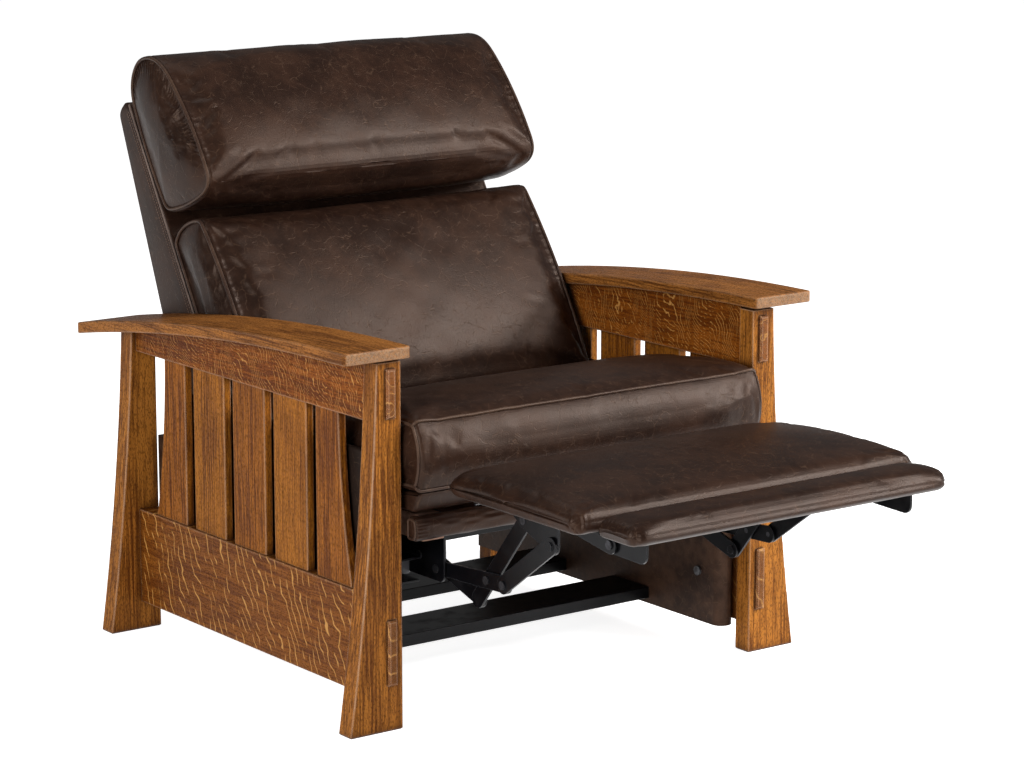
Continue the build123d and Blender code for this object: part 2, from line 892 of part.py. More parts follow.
with BuildPart() as seat_rivets:
    for _, side in SIDES:
        for centre, inner_layer in ((lower_pivot, 1), (short_pivot, 3), (hinge, 1)):
            pin_x = span(side, layer(inner_layer)[0], plate_outer_x)
            rod(pin_x, flat(centre), pin_radius)
            head_x = span(side, plate_outer_x, plate_outer_x + rivet_head_height)
            rod(head_x, flat(centre), rivet_head_radius)
finish(seat_rivets, "seat_rivets")


# Back
def lean(u, n):
    """The side-view point u up the back's face and n out in front of it."""
    angle = radians(back_lean)
    return (
        back_origin_y + u * sin(angle) - n * cos(angle),
        back_origin_height + u * cos(angle) + n * sin(angle),
    )


with BuildPart() as back_shell:
    shell_corners = (
        lean(shell_bottom_u, 0),
        lean(shell_rear_bottom_u, -shell_rear_bottom_thickness),
        lean(shell_middle_u, -shell_middle_thickness),
        lean(shell_top_u, -shell_top_thickness),
        lean(shell_top_u, 0),
    )
    crest = shell_top_corner_u - shell_top_u
    shell_bulges = (0, 0, 0, crest, 0)
    soft_body(
        back_half_width,
        shell_corners,
        shell_bulges,
        shell_bulges,
        cushion_end_round / 2,
        shell_end_inset,
    )
finish(back_shell, "back_shell")

with BuildPart() as back_cushion:
    back_corners = (
        lean(back_cushion_bottom_u, back_cushion_bottom_depth),
        lean(back_cushion_bottom_u, soft_gap),
        lean(back_cushion_top_u, soft_gap),
        lean(back_cushion_top_corner_u, back_cushion_top_corner_n),
        lean(back_cushion_top_u, back_cushion_top_depth),
    )
    top_bow = back_cushion_top_corner_u - back_cushion_top_u
    soft_body(
        back_half_width,
        back_corners,
        (0, 0, 0, top_bow / 2, back_cushion_bulge),
        (0, 0, 0, top_bow / 2, back_cushion_bulge + back_cushion_crown),
        cushion_end_round,
        cushion_end_inset,
    )
finish(back_cushion, "back_cushion")

with BuildPart() as headrest:
    headrest_corners = (
        lean(headrest_nose_u, headrest_nose_depth),
        lean(headrest_bottom_u, headrest_seat_gap),
        lean(headrest_rear_u, headrest_seat_gap),
        lean(headrest_top_u, headrest_top_depth),
        lean(headrest_upper_u, headrest_upper_depth),
        lean(headrest_front_u, headrest_front_depth),
    )
    nose_bow = (headrest_front_u - headrest_nose_u) / 4
    top_bow = (headrest_top_u - headrest_rear_u) / 4
    headrest_bulges = (
        headrest_seat_gap,
        headrest_seat_gap - soft_gap,
        top_bow,
        top_bow,
        headrest_seat_gap,
        nose_bow,
    )
    crowned = [bulge + headrest_middle_crown for bulge in headrest_bulges]
    crowned[1] = headrest_bulges[1]
    soft_body(
        back_half_width,
        headrest_corners,
        headrest_bulges,
        crowned,
        cushion_end_round,
        cushion_end_inset,
    )
finish(headrest, "headrest")

shell_front_foot = Vector(*lean(shell_bottom_u, 0))
shell_rear_foot = Vector(*lean(shell_rear_bottom_u, -shell_rear_bottom_thickness))
foot_direction = (shell_rear_foot - shell_front_foot).normalized()
foot_down = Vector(foot_direction.Y, -foot_direction.X)
with BuildPart() as back_brackets:
    for _, side in SIDES:
        web_start = shell_front_foot + foot_direction * back_bracket_start
        web_end = web_start + foot_direction * back_bracket_reach
        ring_radius = hinge_ring_radius - layer_gap
        with BuildSketch(side_plane(span(side, *layer(1))[0])):
            with BuildLine():
                Polyline(
                    (hinge_y, hinge_height + ring_radius),
                    (back_bracket_relief_y, back_bracket_relief_height),
                    flat(web_start),
                    flat(web_end),
                    flat(web_end + foot_down * steel_thickness),
                    (back_bracket_heel_y, back_bracket_heel_height),
                    (hinge_y, hinge_height - ring_radius),
                    close=True,
                )
            make_face()
            with Locations(flat(hinge)):
                Circle(ring_radius)
            with Locations(flat(hinge)):
                Circle(hole_radius, mode=Mode.SUBTRACT)
        extrude(amount=steel_thickness)
        flange_x = span(side, layer(1)[1], layer(1)[1] + back_flange_width)
        with BuildSketch(side_plane(flange_x[0])):
            with BuildLine():
                Polyline(
                    flat(web_start),
                    flat(web_end),
                    flat(web_end + foot_down * steel_thickness),
                    flat(web_start + foot_down * steel_thickness),
                    close=True,
                )
            make_face()
        extrude(amount=back_flange_width)
finish(back_brackets, "back_brackets")


# Footrest linkage
with BuildPart() as lower_links:
    for _, side in SIDES:
        rounded_bar(
            span(side, *layer(1)),
            ((flat(lower_pivot), narrow_end_radius), (flat(knee_joint), link_end_radius)),
            (
                (flat(lower_pivot), hole_radius),
                (flat(rear_joint), pin_radius),
                (flat(knee_joint), pin_radius),
            ),
        )
finish(lower_links, "lower_links")

with BuildPart() as lower_rivets:
    for _, side in SIDES:
        for centre, inner_layer, outer_layer in ((rear_joint, 2, 1), (knee_joint, 1, 0)):
            outer_x = layer(outer_layer)[1]
            pin_x = span(side, layer(inner_layer)[0], outer_x)
            rod(pin_x, flat(centre), pin_radius)
            head_x = span(side, outer_x, outer_x + rivet_head_height)
            rod(head_x, flat(centre), rivet_head_radius)
finish(lower_rivets, "lower_rivets")

with BuildPart() as rear_lift_links:
    for _, side in SIDES:
        rounded_bar(
            span(side, *layer(2)),
            (
                (flat(tail_joint), link_end_radius),
                (flat(rear_bracket_joint), link_end_radius),
            ),
            ((flat(rear_joint), hole_radius), (flat(rear_bracket_joint), hole_radius)),
        )
finish(rear_lift_links, "rear_lift_links")

with BuildPart() as short_links:
    for _, side in SIDES:
        inner_x, outer_x = layer(3)
        rounded_bar(
            span(side, inner_x, outer_x),
            ((flat(short_pivot), link_end_radius), (flat(tail_joint), link_end_radius)),
            ((flat(short_pivot), hole_radius),),
        )
        head_x = span(side, inner_x - rivet_head_height, inner_x)
        rod(head_x, flat(tail_joint), rivet_head_radius)
finish(short_links, "short_links")

with BuildPart() as front_lift_links:
    for _, side in SIDES:
        inner_x, outer_x = layer(0)
        rounded_bar(
            span(side, inner_x, outer_x),
            (
                (flat(knee_joint), link_end_radius),
                (flat(front_bracket_joint), link_end_radius),
            ),
            ((flat(knee_joint), hole_radius),),
        )
        head_x = span(side, outer_x, outer_x + rivet_head_height)
        rod(head_x, flat(front_bracket_joint), rivet_head_radius)
finish(front_lift_links, "front_lift_links")


def hull_plate(x, circles, corners):
    """A plate: the hull of circles and of corner points."""
    with BuildSketch(side_plane(x[0])) as plate:
        for centre, radius in circles:
            with Locations(centre):
                Circle(radius)
        with BuildLine():
            Polyline(*corners, close=True)
        make_face()
        make_hull()
    extrude(plate.sketch, amount=x[1] - x[0])


def strip_corners(start, end, depth):
    """Corners of a strip along the footrest's underside."""
    return (
        flat(under_footrest(start, 0)),
        flat(under_footrest(end, 0)),
        flat(under_footrest(end, depth)),
        flat(under_footrest(start, depth)),
    )


with BuildPart() as footrest_brackets:
    for _, side in SIDES:
        plate_x = span(side, *layer(1))
        hull_plate(
            plate_x,
            (
                (flat(rear_bracket_joint), narrow_end_radius),
                (flat(front_bracket_joint), link_end_radius),
            ),
            strip_corners(bracket_start, front_bracket_reach + bracket_strip, steel_thickness),
        )
        hull_plate(
            plate_x,
            ((flat(flip_pivot), link_end_radius),),
            strip_corners(front_bracket_reach, flip_pivot_reach, bracket_strip),
        )
        for centre in (rear_bracket_joint, front_bracket_joint, flip_pivot):
            rod(plate_x, flat(centre), pin_radius, Mode.SUBTRACT)
        flange_x = span(side, layer(1)[1], layer(1)[1] + bracket_flange)
        block(
            flange_x,
            (footrest_rear_y - flip_pivot_reach, footrest_rear_y - bracket_start),
            (footrest_underside - steel_thickness, footrest_underside),
        )
finish(footrest_brackets, "footrest_brackets")

with BuildPart() as footrest_rivets:
    for _, side in SIDES:
        for centre, head_height in (
            (rear_bracket_joint, layer_gap / 2),
            (flip_pivot, rivet_head_height),
        ):
            outer_x = layer(1)[1]
            rod(span(side, layer(2)[0], outer_x), flat(centre), pin_radius)
            head_x = span(side, outer_x, outer_x + head_height)
            rod(head_x, flat(centre), rivet_head_radius)
        inner_x, outer_x = layer(1)
        rod(span(side, inner_x, outer_x), flat(front_bracket_joint), pin_radius)
        head_x = span(side, inner_x - rivet_head_height, inner_x)
        rod(head_x, flat(front_bracket_joint), rivet_head_radius)
finish(footrest_rivets, "footrest_rivets")

with BuildPart() as flip_brackets:
    for _, side in SIDES:
        plate_x = span(side, *layer(2))
        flip_start = pad_length + flip_gap + flip_board_margin / 2
        far = flip_pivot_reach + flip_bracket_reach
        hull_plate(
            plate_x,
            (
                (flat(flip_pivot), link_end_radius),
                (flat(under_footrest(far, flip_bracket_drop)), link_end_radius),
            ),
            strip_corners(flip_start, far + link_end_radius, steel_thickness),
        )
        rod(plate_x, flat(flip_pivot), hole_radius, Mode.SUBTRACT)
        inner_x = layer(2)[0]
        block(
            span(side, inner_x - bracket_flange, inner_x),
            (footrest_rear_y - far - link_end_radius, footrest_rear_y - flip_start),
            (footrest_underside - steel_thickness, footrest_underside),
        )
finish(flip_brackets, "flip_brackets")

# Footrest pads, each wrapped round a board that lies flush in its underside
pad_front_y = footrest_rear_y - pad_length
board_y = (pad_front_y + board_margin, footrest_rear_y - board_margin)
board_z = (footrest_underside, footrest_underside + board_thickness)
with BuildPart() as footrest_board:
    block((-board_half_width, board_half_width), board_y, board_z)
finish(footrest_board, "footrest_board")


def board_pocket(half_width, y, z):
    """The pocket in a pad's underside that its board lies in."""
    block(
        (-half_width - soft_gap, half_width + soft_gap),
        (y[0] - soft_gap, y[1] + soft_gap),
        (z[0] - overrun, z[1] + soft_gap),
        Mode.SUBTRACT,
    )


with BuildPart() as footrest_pad:
    pad_corners = (
        (pad_front_y + pad_nose, footrest_underside),
        (footrest_rear_y - pad_nose, footrest_underside),
        (footrest_rear_y, footrest_underside + pad_edge_height),
        (pad_front_y, footrest_underside + pad_edge_height),
    )
    soft_body(
        pad_half_width,
        pad_corners,
        (0, pad_nose, pad_crown, pad_nose),
        (0, pad_nose, pad_crown + pad_middle_crown, pad_nose),
        cushion_end_round,
        pad_nose,
    )
    board_pocket(board_half_width, board_y, board_z)
finish(footrest_pad, "footrest_pad")

flip_rear_y = pad_front_y - flip_gap
flip_front_y = flip_rear_y - flip_length
flip_board_half_width = flip_half_width - 2 * flip_board_margin
flip_board_y = (flip_front_y + flip_board_margin, flip_rear_y - flip_board_margin / 2)
flip_board_z = (footrest_underside, footrest_underside + flip_board_thickness)
with BuildPart() as flip_board:
    block((-flip_board_half_width, flip_board_half_width), flip_board_y, flip_board_z)
finish(flip_board, "flip_board")

with BuildPart() as flip_pad:
    flip_corners = (
        (flip_front_y, footrest_underside),
        (flip_rear_y, footrest_underside),
        (flip_rear_y, footrest_underside + flip_edge_height),
        (flip_front_y, footrest_underside + flip_front_height),
    )
    flip_bulges = (0, soft_gap, flip_crown, flip_nose)
    soft_body(
        flip_half_width,
        flip_corners,
        flip_bulges,
        flip_bulges,
        cushion_end_round,
        pad_nose,
    )
    board_pocket(flip_board_half_width, flip_board_y, flip_board_z)
finish(flip_pad, "flip_pad")
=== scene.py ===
"""A reclining armchair in stained oak and dark leather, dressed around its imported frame.

Lengths in the classes are millimetres, measured rearward from the front legs' face and up
from the floor. Meshes are in metres.
"""

import logging
import math
from dataclasses import dataclass, field
from enum import Enum
from itertools import product
from typing import Optional, Sequence, Union

import bpy
import numpy as np
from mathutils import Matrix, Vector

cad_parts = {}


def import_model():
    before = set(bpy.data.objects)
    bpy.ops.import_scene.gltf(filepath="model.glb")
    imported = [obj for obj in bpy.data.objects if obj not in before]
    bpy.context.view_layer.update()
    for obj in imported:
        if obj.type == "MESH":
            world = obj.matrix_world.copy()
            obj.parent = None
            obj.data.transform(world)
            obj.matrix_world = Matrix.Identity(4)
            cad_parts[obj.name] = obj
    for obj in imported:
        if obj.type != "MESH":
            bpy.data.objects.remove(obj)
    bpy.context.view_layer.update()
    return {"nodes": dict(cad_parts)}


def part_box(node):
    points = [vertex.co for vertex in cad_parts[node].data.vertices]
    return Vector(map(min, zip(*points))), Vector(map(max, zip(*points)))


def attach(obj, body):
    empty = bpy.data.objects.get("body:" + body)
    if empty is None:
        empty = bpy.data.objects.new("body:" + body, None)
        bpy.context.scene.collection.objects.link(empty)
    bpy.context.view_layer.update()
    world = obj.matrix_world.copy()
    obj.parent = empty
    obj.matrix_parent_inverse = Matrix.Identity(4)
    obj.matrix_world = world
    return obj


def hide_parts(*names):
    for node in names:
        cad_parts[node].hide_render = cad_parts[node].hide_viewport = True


LOG = logging.getLogger("armchair")
MM = 0.001
ACROSS = (1.0, 0.0, 0.0)
CORD_SIDES = 12
BEAD_SIDES = 6
STITCH_PITCH = 5.0
STITCH_LENGTH = 3.6
STITCH_RADIUS = 0.55
SEAM_HOLD = 9.0
CLOTH_FRAMES = 20
CLOTH_SETTINGS = {
    "quality": 4, "mass": 0.4, "use_pressure": True, "uniform_pressure_force": 4.0,
    "tension_stiffness": 25.0, "compression_stiffness": 25.0, "bending_stiffness": 0.6,
}
CELL_EDGES = "DISTANCE_TO_EDGE"
Array = np.ndarray
Piece = bpy.types.Object
Material = bpy.types.Material
Colour = tuple[float, float, float]
Point = tuple[float, float]
Floats = Sequence[float]
Points = Sequence[Point]


# Shader maths


class Level:
    """A shader socket that joins in sums, differences and products."""

    def __init__(self, bench: "Bench", socket: bpy.types.NodeSocket) -> None:
        """Keeps the socket and the bench whose nodes it belongs to."""
        self.bench = bench
        self.socket = socket

    def __add__(self, other: "Amount") -> "Level":
        """The sum of this level and another."""
        return self.bench.maths("ADD", self, other)

    def __radd__(self, other: "Amount") -> "Level":
        """The sum of a number and this level."""
        return self.bench.maths("ADD", other, self)

    def __sub__(self, other: "Amount") -> "Level":
        """This level less another."""
        return self.bench.maths("SUBTRACT", self, other)

    def __rsub__(self, other: "Amount") -> "Level":
        """A number less this level."""
        return self.bench.maths("SUBTRACT", other, self)

    def __mul__(self, other: "Amount") -> "Level":
        """The product of this level and another."""
        return self.bench.maths("MULTIPLY", self, other)

    def __rmul__(self, other: "Amount") -> "Level":
        """The product of a number and this level."""
        return self.bench.maths("MULTIPLY", other, self)

    def __abs__(self) -> "Level":
        """This level without its sign."""
        return self.bench.maths("ABSOLUTE", self, 0.0)

    def fraction(self) -> "Level":
        """What this level has beyond a whole number."""
        return self.bench.maths("FRACT", self, 0.0)

    def between(self, low: float, high: float) -> "Level":
        """Turns this level into a soft mask.

        Args:
            low: The level at which the mask is 0.
            high: The level at which the mask is 1.

        Returns:
            The mask, eased at both ends.
        """
        inputs = {"Value": self, "From Min": low, "From Max": high}
        settings = {"interpolation_type": "SMOOTHSTEP"}
        return self.bench.level("ShaderNodeMapRange", "Result", inputs, settings)


Amount = Union[Level, float]


class Bench:
    """The node bench of one material."""

    def __init__(self, name: str) -> None:
        """Makes an empty material of that name."""
        self.material = bpy.data.materials.new(name)
        self.material.use_nodes = True
        self.tree = self.material.node_tree
        self.tree.nodes.clear()

    def add(
        self, kind: str, inputs: Optional[dict] = None, settings: Optional[dict] = None
    ) -> bpy.types.Node:
        """Adds a node.

        Args:
            kind: The node's type.
            inputs: Values or levels for its sockets, by name or number.
            settings: Its own settings, set first.

        Returns:
            The new node.
        """
        node = self.tree.nodes.new(kind)
        for key, value in (settings or {}).items():
            setattr(node, key, value)
        for key, value in (inputs or {}).items():
            if isinstance(value, Level):
                self.tree.links.new(value.socket, node.inputs[key])
            elif value is not None:
                node.inputs[key].default_value = value
        return node

    def level(
        self, kind: str, output: Union[str, int], inputs: Optional[dict] = None,
        settings: Optional[dict] = None,
    ) -> Level:
        """Adds a node and gives one of its outputs, by name or number."""
        return Level(self, self.add(kind, inputs, settings).outputs[output])

    def maths(self, operation: str, first: Amount, second: Amount) -> Level:
        """One sum of two levels or numbers."""
        return self.level("ShaderNodeMath", 0, {0: first, 1: second}, {"operation": operation})

    def vector_maths(
        self, operation: str, first: Level, second: object, scale: Optional[float] = None,
        output: str = "Vector",
    ) -> Level:
        """One sum of two vectors, or a vector times a number."""
        inputs = {0: first, 1: second, "Scale": scale}
        return self.level("ShaderNodeVectorMath", output, inputs, {"operation": operation})

    def place(self) -> Level:
        """The point in the chair's own coordinates, in metres."""
        return self.level("ShaderNodeTexCoord", "Object")

    def part(self, vector: Level, axis: int) -> Level:
        """A vector's part along one axis."""
        return self.level("ShaderNodeSeparateXYZ", axis, {"Vector": vector})

    def mapped(
        self, vector: Level, scale: Floats = (1.0, 1.0, 1.0), shift: Floats = (0.0, 0.0, 0.0)
    ) -> Level:
        """A pattern's coordinates, scaled along X, Y and Z and then shifted."""
        inputs = {"Vector": vector, "Location": shift, "Scale": scale}
        return self.level("ShaderNodeMapping", "Vector", inputs, {"vector_type": "POINT"})

    def noise(self, vector: Level, scale: float, detail: float = 2.0) -> Level:
        """Smooth noise from 0 to 1 at so many waves to the metre."""
        inputs = {"Vector": vector, "Scale": scale, "Detail": detail}
        return self.level("ShaderNodeTexNoise", "Fac", inputs)

    def warped(self, vector: Level, scale: float, reach: float) -> Level:
        """Coordinates pushed about by noise of a scale, by no more than a reach."""
        colour = self.level("ShaderNodeTexNoise", "Color", {"Vector": vector, "Scale": scale})
        centred = self.vector_maths("SUBTRACT", colour, (0.5, 0.5, 0.5))
        pushed = self.vector_maths("SCALE", centred, None, reach * 2)
        return self.vector_maths("ADD", vector, pushed)

    def cells(self, vector: Level, scale: float, feature: str) -> Level:
        """The distance pattern of scattered cells."""
        inputs = {"Vector": vector, "Scale": scale}
        return self.level("ShaderNodeTexVoronoi", "Distance", inputs, {"feature": feature})

    def tint(self, colour: object, other: Colour, amount: Amount) -> Level:
        """A colour, given as a level or three numbers, mixed by an amount towards another."""
        first = colour if isinstance(colour, Level) else (*colour, 1.0)
        inputs = {0: amount, 6: first, 7: (*other, 1.0)}
        settings = {"data_type": "RGBA", "clamp_factor": True}
        return self.level("ShaderNodeMix", 2, inputs, settings)

    def eased(self, radius: float) -> Level:
        """The normals of the surface with its edges rounded."""
        return self.level("ShaderNodeBevel", "Normal", {"Radius": radius}, {"samples": 4})

    def edges(self, rounded: Level) -> Level:
        """A mask of the edges, where the rounded normals leave the flat ones."""
        flat = self.level("ShaderNodeNewGeometry", "True Normal")
        return 1.0 - self.vector_maths("DOT_PRODUCT", rounded, flat, output="Value")

    def occlusion_shade(self, reach: float) -> Level:
        """A mask for painted shade: the places where something else stands within reach."""
        inputs = {"Distance": reach}
        return 1.0 - self.level("ShaderNodeAmbientOcclusion", "AO", inputs, {"samples": 6})

    def relief(
        self, height: Level, depth: float, strength: float, base: Optional[Level] = None
    ) -> Level:
        """The normals of a height pattern.

        Args:
            height: The pattern, about 0 to 1.
            depth: What 1 stands for, in metres.
            strength: How much of it shows.
            base: The normals that it starts from, or None for the surface's own.

        Returns:
            The normal.
        """
        inputs = {"Strength": strength, "Distance": depth, "Height": height, "Normal": base}
        return self.level("ShaderNodeBump", "Normal", inputs)

    def end_in(self, shader: Level) -> Material:
        """Ends the material in a shader."""
        self.add("ShaderNodeOutputMaterial", {"Surface": shader})
        return self.material

    def finish(
        self, colour: Level, roughness: Level, normal: Level, others: Optional[dict] = None
    ) -> Material:
        """Ends the material in one principled surface, with its other inputs by name."""
        inputs = {"Base Color": colour, "Roughness": roughness, "Normal": normal}
        inputs.update(others or {})
        return self.end_in(self.level("ShaderNodeBsdfPrincipled", "BSDF", inputs))


# Finishes


class Grain(Enum):
    """The way that a board's grain runs."""

    UP = 2
    ALONG = 1

    def squeeze(self, factor: float) -> tuple[float, float, float]:
        """Scales that draw a pattern out along the grain."""
        scales = [1.0, 1.0, 1.0]
        scales[self.value] = factor
        return tuple(scales)


@dataclass(frozen=True)
class OakFinish:
    """Quartersawn oak with a golden brown stain and a satin varnish."""

    name: str
    grain: Grain
    fleck: float = 0.0
    fleck_rate: float = 70.0
    fleck_run: float = 15.0
    slant: float = -26.0
    sway: float = 5.0
    shift: float = 0.0
    deep: Colour = (0.125, 0.0370, 0.0055)
    golden: Colour = (0.410, 0.152, 0.0230)
    # Colour of the pores, also laid in as painted shade at the joints.
    pore: Colour = (0.046, 0.0135, 0.0030)
    ray: Colour = (0.640, 0.330, 0.090)
    edge_highlight: Colour = (0.54, 0.33, 0.20)
    cut_end: Colour = (0.36, 0.215, 0.125)
    end_share: float = 0.75
    band_waves: float = 20.0
    streak_waves: float = 280.0
    pore_waves: float = 620.0
    edge_radius: float = 0.0045
    joint_shade_reach: float = 0.026

    def build(self) -> Material:
        """Long bands and streaks, fine pores, pale rays, painted edge highlights and painted joint
        shade.
        """
        bench = Bench(self.name)
        shift = (self.shift, self.shift * 1.7, self.shift * 0.6)
        place = bench.mapped(bench.place(), shift=shift)
        wavering = bench.warped(place, 7.0, 0.006)
        long = bench.mapped(wavering, self.grain.squeeze(0.03))
        short = bench.mapped(wavering, self.grain.squeeze(0.30))
        band = bench.noise(long, self.band_waves, 3.0)
        streak = bench.noise(long, self.streak_waves, 3.0)
        cloud = bench.noise(place, 9.0, 3.0)
        pore = bench.noise(short, self.pore_waves, 2.0).between(0.48, 0.62)
        tone = band * 0.34 + streak * 0.76 + cloud * 0.18
        colour = bench.tint(self.deep, self.golden, tone.between(0.49, 0.78))
        colour = bench.tint(colour, self.pore, pore * 0.55)
        ray = self.rays(bench, place)
        colour = bench.tint(colour, self.ray, ray * self.fleck)
        facing = bench.part(bench.level("ShaderNodeTexCoord", "Normal"), self.grain.value)
        end = abs(facing).between(0.75, 0.95)
        dots = bench.noise(place, 500.0, 2.0).between(0.42, 0.6)
        colour = bench.tint(colour, self.cut_end, end * (self.end_share - dots * 0.45))
        rounded = bench.eased(self.edge_radius)
        edge = bench.edges(rounded).between(0.015, 0.14)
        # Painted highlight: a pale line along the eased edges, where light would catch them.
        colour = bench.tint(colour, self.edge_highlight, edge * 0.85)
        # Painted shade: the pore colour laid into the joints and onto faces close to other parts,
        # found by ambient occlusion.
        joint_shade = bench.occlusion_shade(self.joint_shade_reach).between(0.14, 0.62)
        colour = bench.tint(colour, self.pore, joint_shade * 0.9)
        roughness = 0.36 + pore * 0.20 + cloud * 0.1 - ray * 0.06
        height = streak * 0.3 - pore * 0.6 + ray * 0.1
        normal = bench.relief(height, 0.0006, 0.7, rounded)
        return bench.finish(colour, roughness, normal, {"Specular IOR Level": 0.08})

    def rays(self, bench: Bench, place: Level) -> Level:
        """A mask of the pale rays.

        They are strokes where a wavering sum that climbs along the grain is half past a
        whole number, broken up by noise that is long across the grain.
        """
        along = bench.part(place, self.grain.value)
        across = bench.part(place, 3 - self.grain.value)
        bend = bench.noise(place, 9.0, 2.0) * self.sway
        shiver = bench.noise(place, 0.7 * self.fleck_rate, 2.0) * 0.9
        climb = along * self.fleck_rate + across * self.slant + bend + shiver
        line = 1.0 - abs(climb.fraction() - 0.5).between(0.04, 0.10)
        stretch = [self.fleck_run] * 3
        stretch[self.grain.value] = self.fleck_rate * 1.1
        gate = bench.noise(bench.mapped(place, stretch, shift=(3.1, 7.7, 1.3)), 1.0, 1.0)
        return line * gate.between(0.42, 0.52)


@dataclass(frozen=True)
class LeatherFinish:
    """Dark espresso leather, mottled, finely creased and half polished."""

    name: str
    dark: Colour = (0.0115, 0.0048, 0.0030)
    warm: Colour = (0.0250, 0.0108, 0.0062)
    crease: Colour = (0.125, 0.072, 0.044)
    sheen: Colour = (1.0, 0.74, 0.60)
    shade_colour: Colour = (0.006, 0.003, 0.002)
    roughness: float = 0.335
    net_cells: float = 38.0
    fine_cells: float = 120.0
    pebble_cells: float = 520.0
    shade_reach: float = 0.012

    def build(self) -> Material:
        """Cloudy tone, a net of hair-fine creases, painted shade in the seams, small pebbles and soft
        wrinkles.
        """
        bench = Bench(self.name)
        place = bench.place()
        cloud = bench.noise(place, 11.0, 5.0)
        mottle = bench.noise(place, 60.0, 4.0)
        bent = bench.warped(bench.warped(place, 8.0, 0.03), 45.0, 0.006)
        net = 1.0 - bench.cells(bent, self.net_cells, CELL_EDGES).between(0.0, 0.030)
        fine = 1.0 - bench.cells(bent, self.fine_cells, CELL_EDGES).between(0.0, 0.055)
        broken = bench.noise(place, 90.0, 2.0).between(0.40, 0.62)
        gate = bench.noise(place, 13.0, 3.0).between(0.44, 0.62)
        veins = (net * 0.7 + fine * 0.5 * gate) * broken
        tone = (cloud * 0.65 + mottle * 0.35).between(0.36, 0.66)
        colour = bench.tint(self.dark, self.warm, tone)
        colour = bench.tint(colour, self.crease, veins * 0.34)
        # Painted shade: darker where other parts or folds stand close, in the seams and hollows.
        colour = bench.tint(colour, self.shade_colour, bench.occlusion_shade(self.shade_reach).between(0.3, 0.8))
        pebble = bench.cells(place, self.pebble_cells, "F1")
        soft = bench.noise(bench.warped(place, 6.0, 0.05), 26.0, 3.0)
        roughness = self.roughness + cloud * 0.10 + mottle * 0.06
        normal = bench.relief(pebble * 0.22 + soft * 0.8 - veins * 0.40, 0.0011, 0.5)
        others = {"Specular IOR Level": 0.21, "Specular Tint": (*self.sheen, 1.0)}
        return bench.finish(colour, roughness, normal, others)


@dataclass(frozen=True)
class PaintedSteelFinish:
    """Black satin paint on pressed steel."""

    name: str
    paint: Colour = (0.0022, 0.0022, 0.0030)
    dusty: Colour = (0.010, 0.0095, 0.0105)
    bare: Colour = (0.12, 0.125, 0.145)
    shade_colour: Colour = (0.002, 0.002, 0.002)
    edge_radius: float = 0.0012
    shade_reach: float = 0.03

    def build(self) -> Material:
        """Even black with faint dust, a little orange peel, rubbed edges and painted shade in the
        recesses.
        """
        bench = Bench(self.name)
        place = bench.place()
        dust = bench.noise(place, 34.0, 4.0).between(0.45, 0.8)
        peel = bench.noise(place, 700.0, 1.0)
        rounded = bench.eased(self.edge_radius)
        edge = bench.edges(rounded).between(0.02, 0.3)
        colour = bench.tint(self.paint, self.dusty, dust * 0.5)
        colour = bench.tint(colour, self.bare, edge * 0.6)
        # Painted shade: darker where other parts stand close.
        colour = bench.tint(colour, self.shade_colour, bench.occlusion_shade(self.shade_reach).between(0.2, 0.8))
        roughness = 0.30 + dust * 0.20 - edge * 0.05
        normal = bench.relief(peel, 0.0002, 0.3, rounded)
        return bench.finish(colour, roughness, normal, {"Specular IOR Level": 0.14})


@dataclass(frozen=True)
class BrightSteelFinish:
    """Dull plated steel of rivets, bolts and spring wire."""

    name: str
    steel: Colour = (0.16, 0.16, 0.17)
    stained: Colour = (0.02, 0.018, 0.017)

    def build(self) -> Material:
        """Brushed metal with darker stains."""
        bench = Bench(self.name)
        place = bench.place()
        stain = bench.noise(place, 120.0, 4.0).between(0.42, 0.7)
        scratch = bench.noise(bench.mapped(place, (1.0, 12.0, 1.0)), 300.0, 2.0)
        colour = bench.tint(self.steel, self.stained, stain * 0.7)
        roughness = 0.36 + scratch * 0.2 + stain * 0.15
        return bench.finish(colour, roughness, bench.relief(scratch, 0.0001, 0.25), {"Metallic": 0.9})


@dataclass(frozen=True)
class PlainWoodFinish:
    """Unpolished softwood of the hidden rails, boards and dowels."""

    name: str
    pale: Colour = (0.40, 0.235, 0.165)
    dark: Colour = (0.22, 0.115, 0.075)

    def build(self) -> Material:
        """Straight streaks along the rails and rough, open pores."""
        bench = Bench(self.name)
        place = bench.warped(bench.place(), 6.0, 0.01)
        streak = bench.noise(bench.mapped(place, (0.08, 1.0, 1.0)), 130.0, 4.0)
        ring = bench.noise(bench.mapped(place, (0.05, 1.0, 1.0)), 36.0, 2.0)
        tone = (streak * 0.5 + ring * 0.5).between(0.35, 0.68)
        colour = bench.tint(self.pale, self.dark, tone)
        return bench.finish(colour, 0.66 + streak * 0.16, bench.relief(streak, 0.0005, 0.5))


@dataclass(frozen=True)
class SpeckledFinish:
    """One even tone with fine raised specks: moulded nylon, or the twist of waxed thread."""

    name: str
    dark: Colour
    pale: Colour
    fineness: float
    detail: float = 2.0
    spread: float = 0.2
    depth: float = 0.0002
    strength: float = 0.5

    def build(self) -> Material:
        """Specks in colour, roughness and height alike."""
        bench = Bench(self.name)
        speck = bench.noise(bench.place(), self.fineness, self.detail)
        colour = bench.tint(self.dark, self.pale, speck)
        normal = bench.relief(speck, self.depth, self.strength)
        return bench.finish(colour, 0.5 + speck * self.spread, normal)


# Surfaces


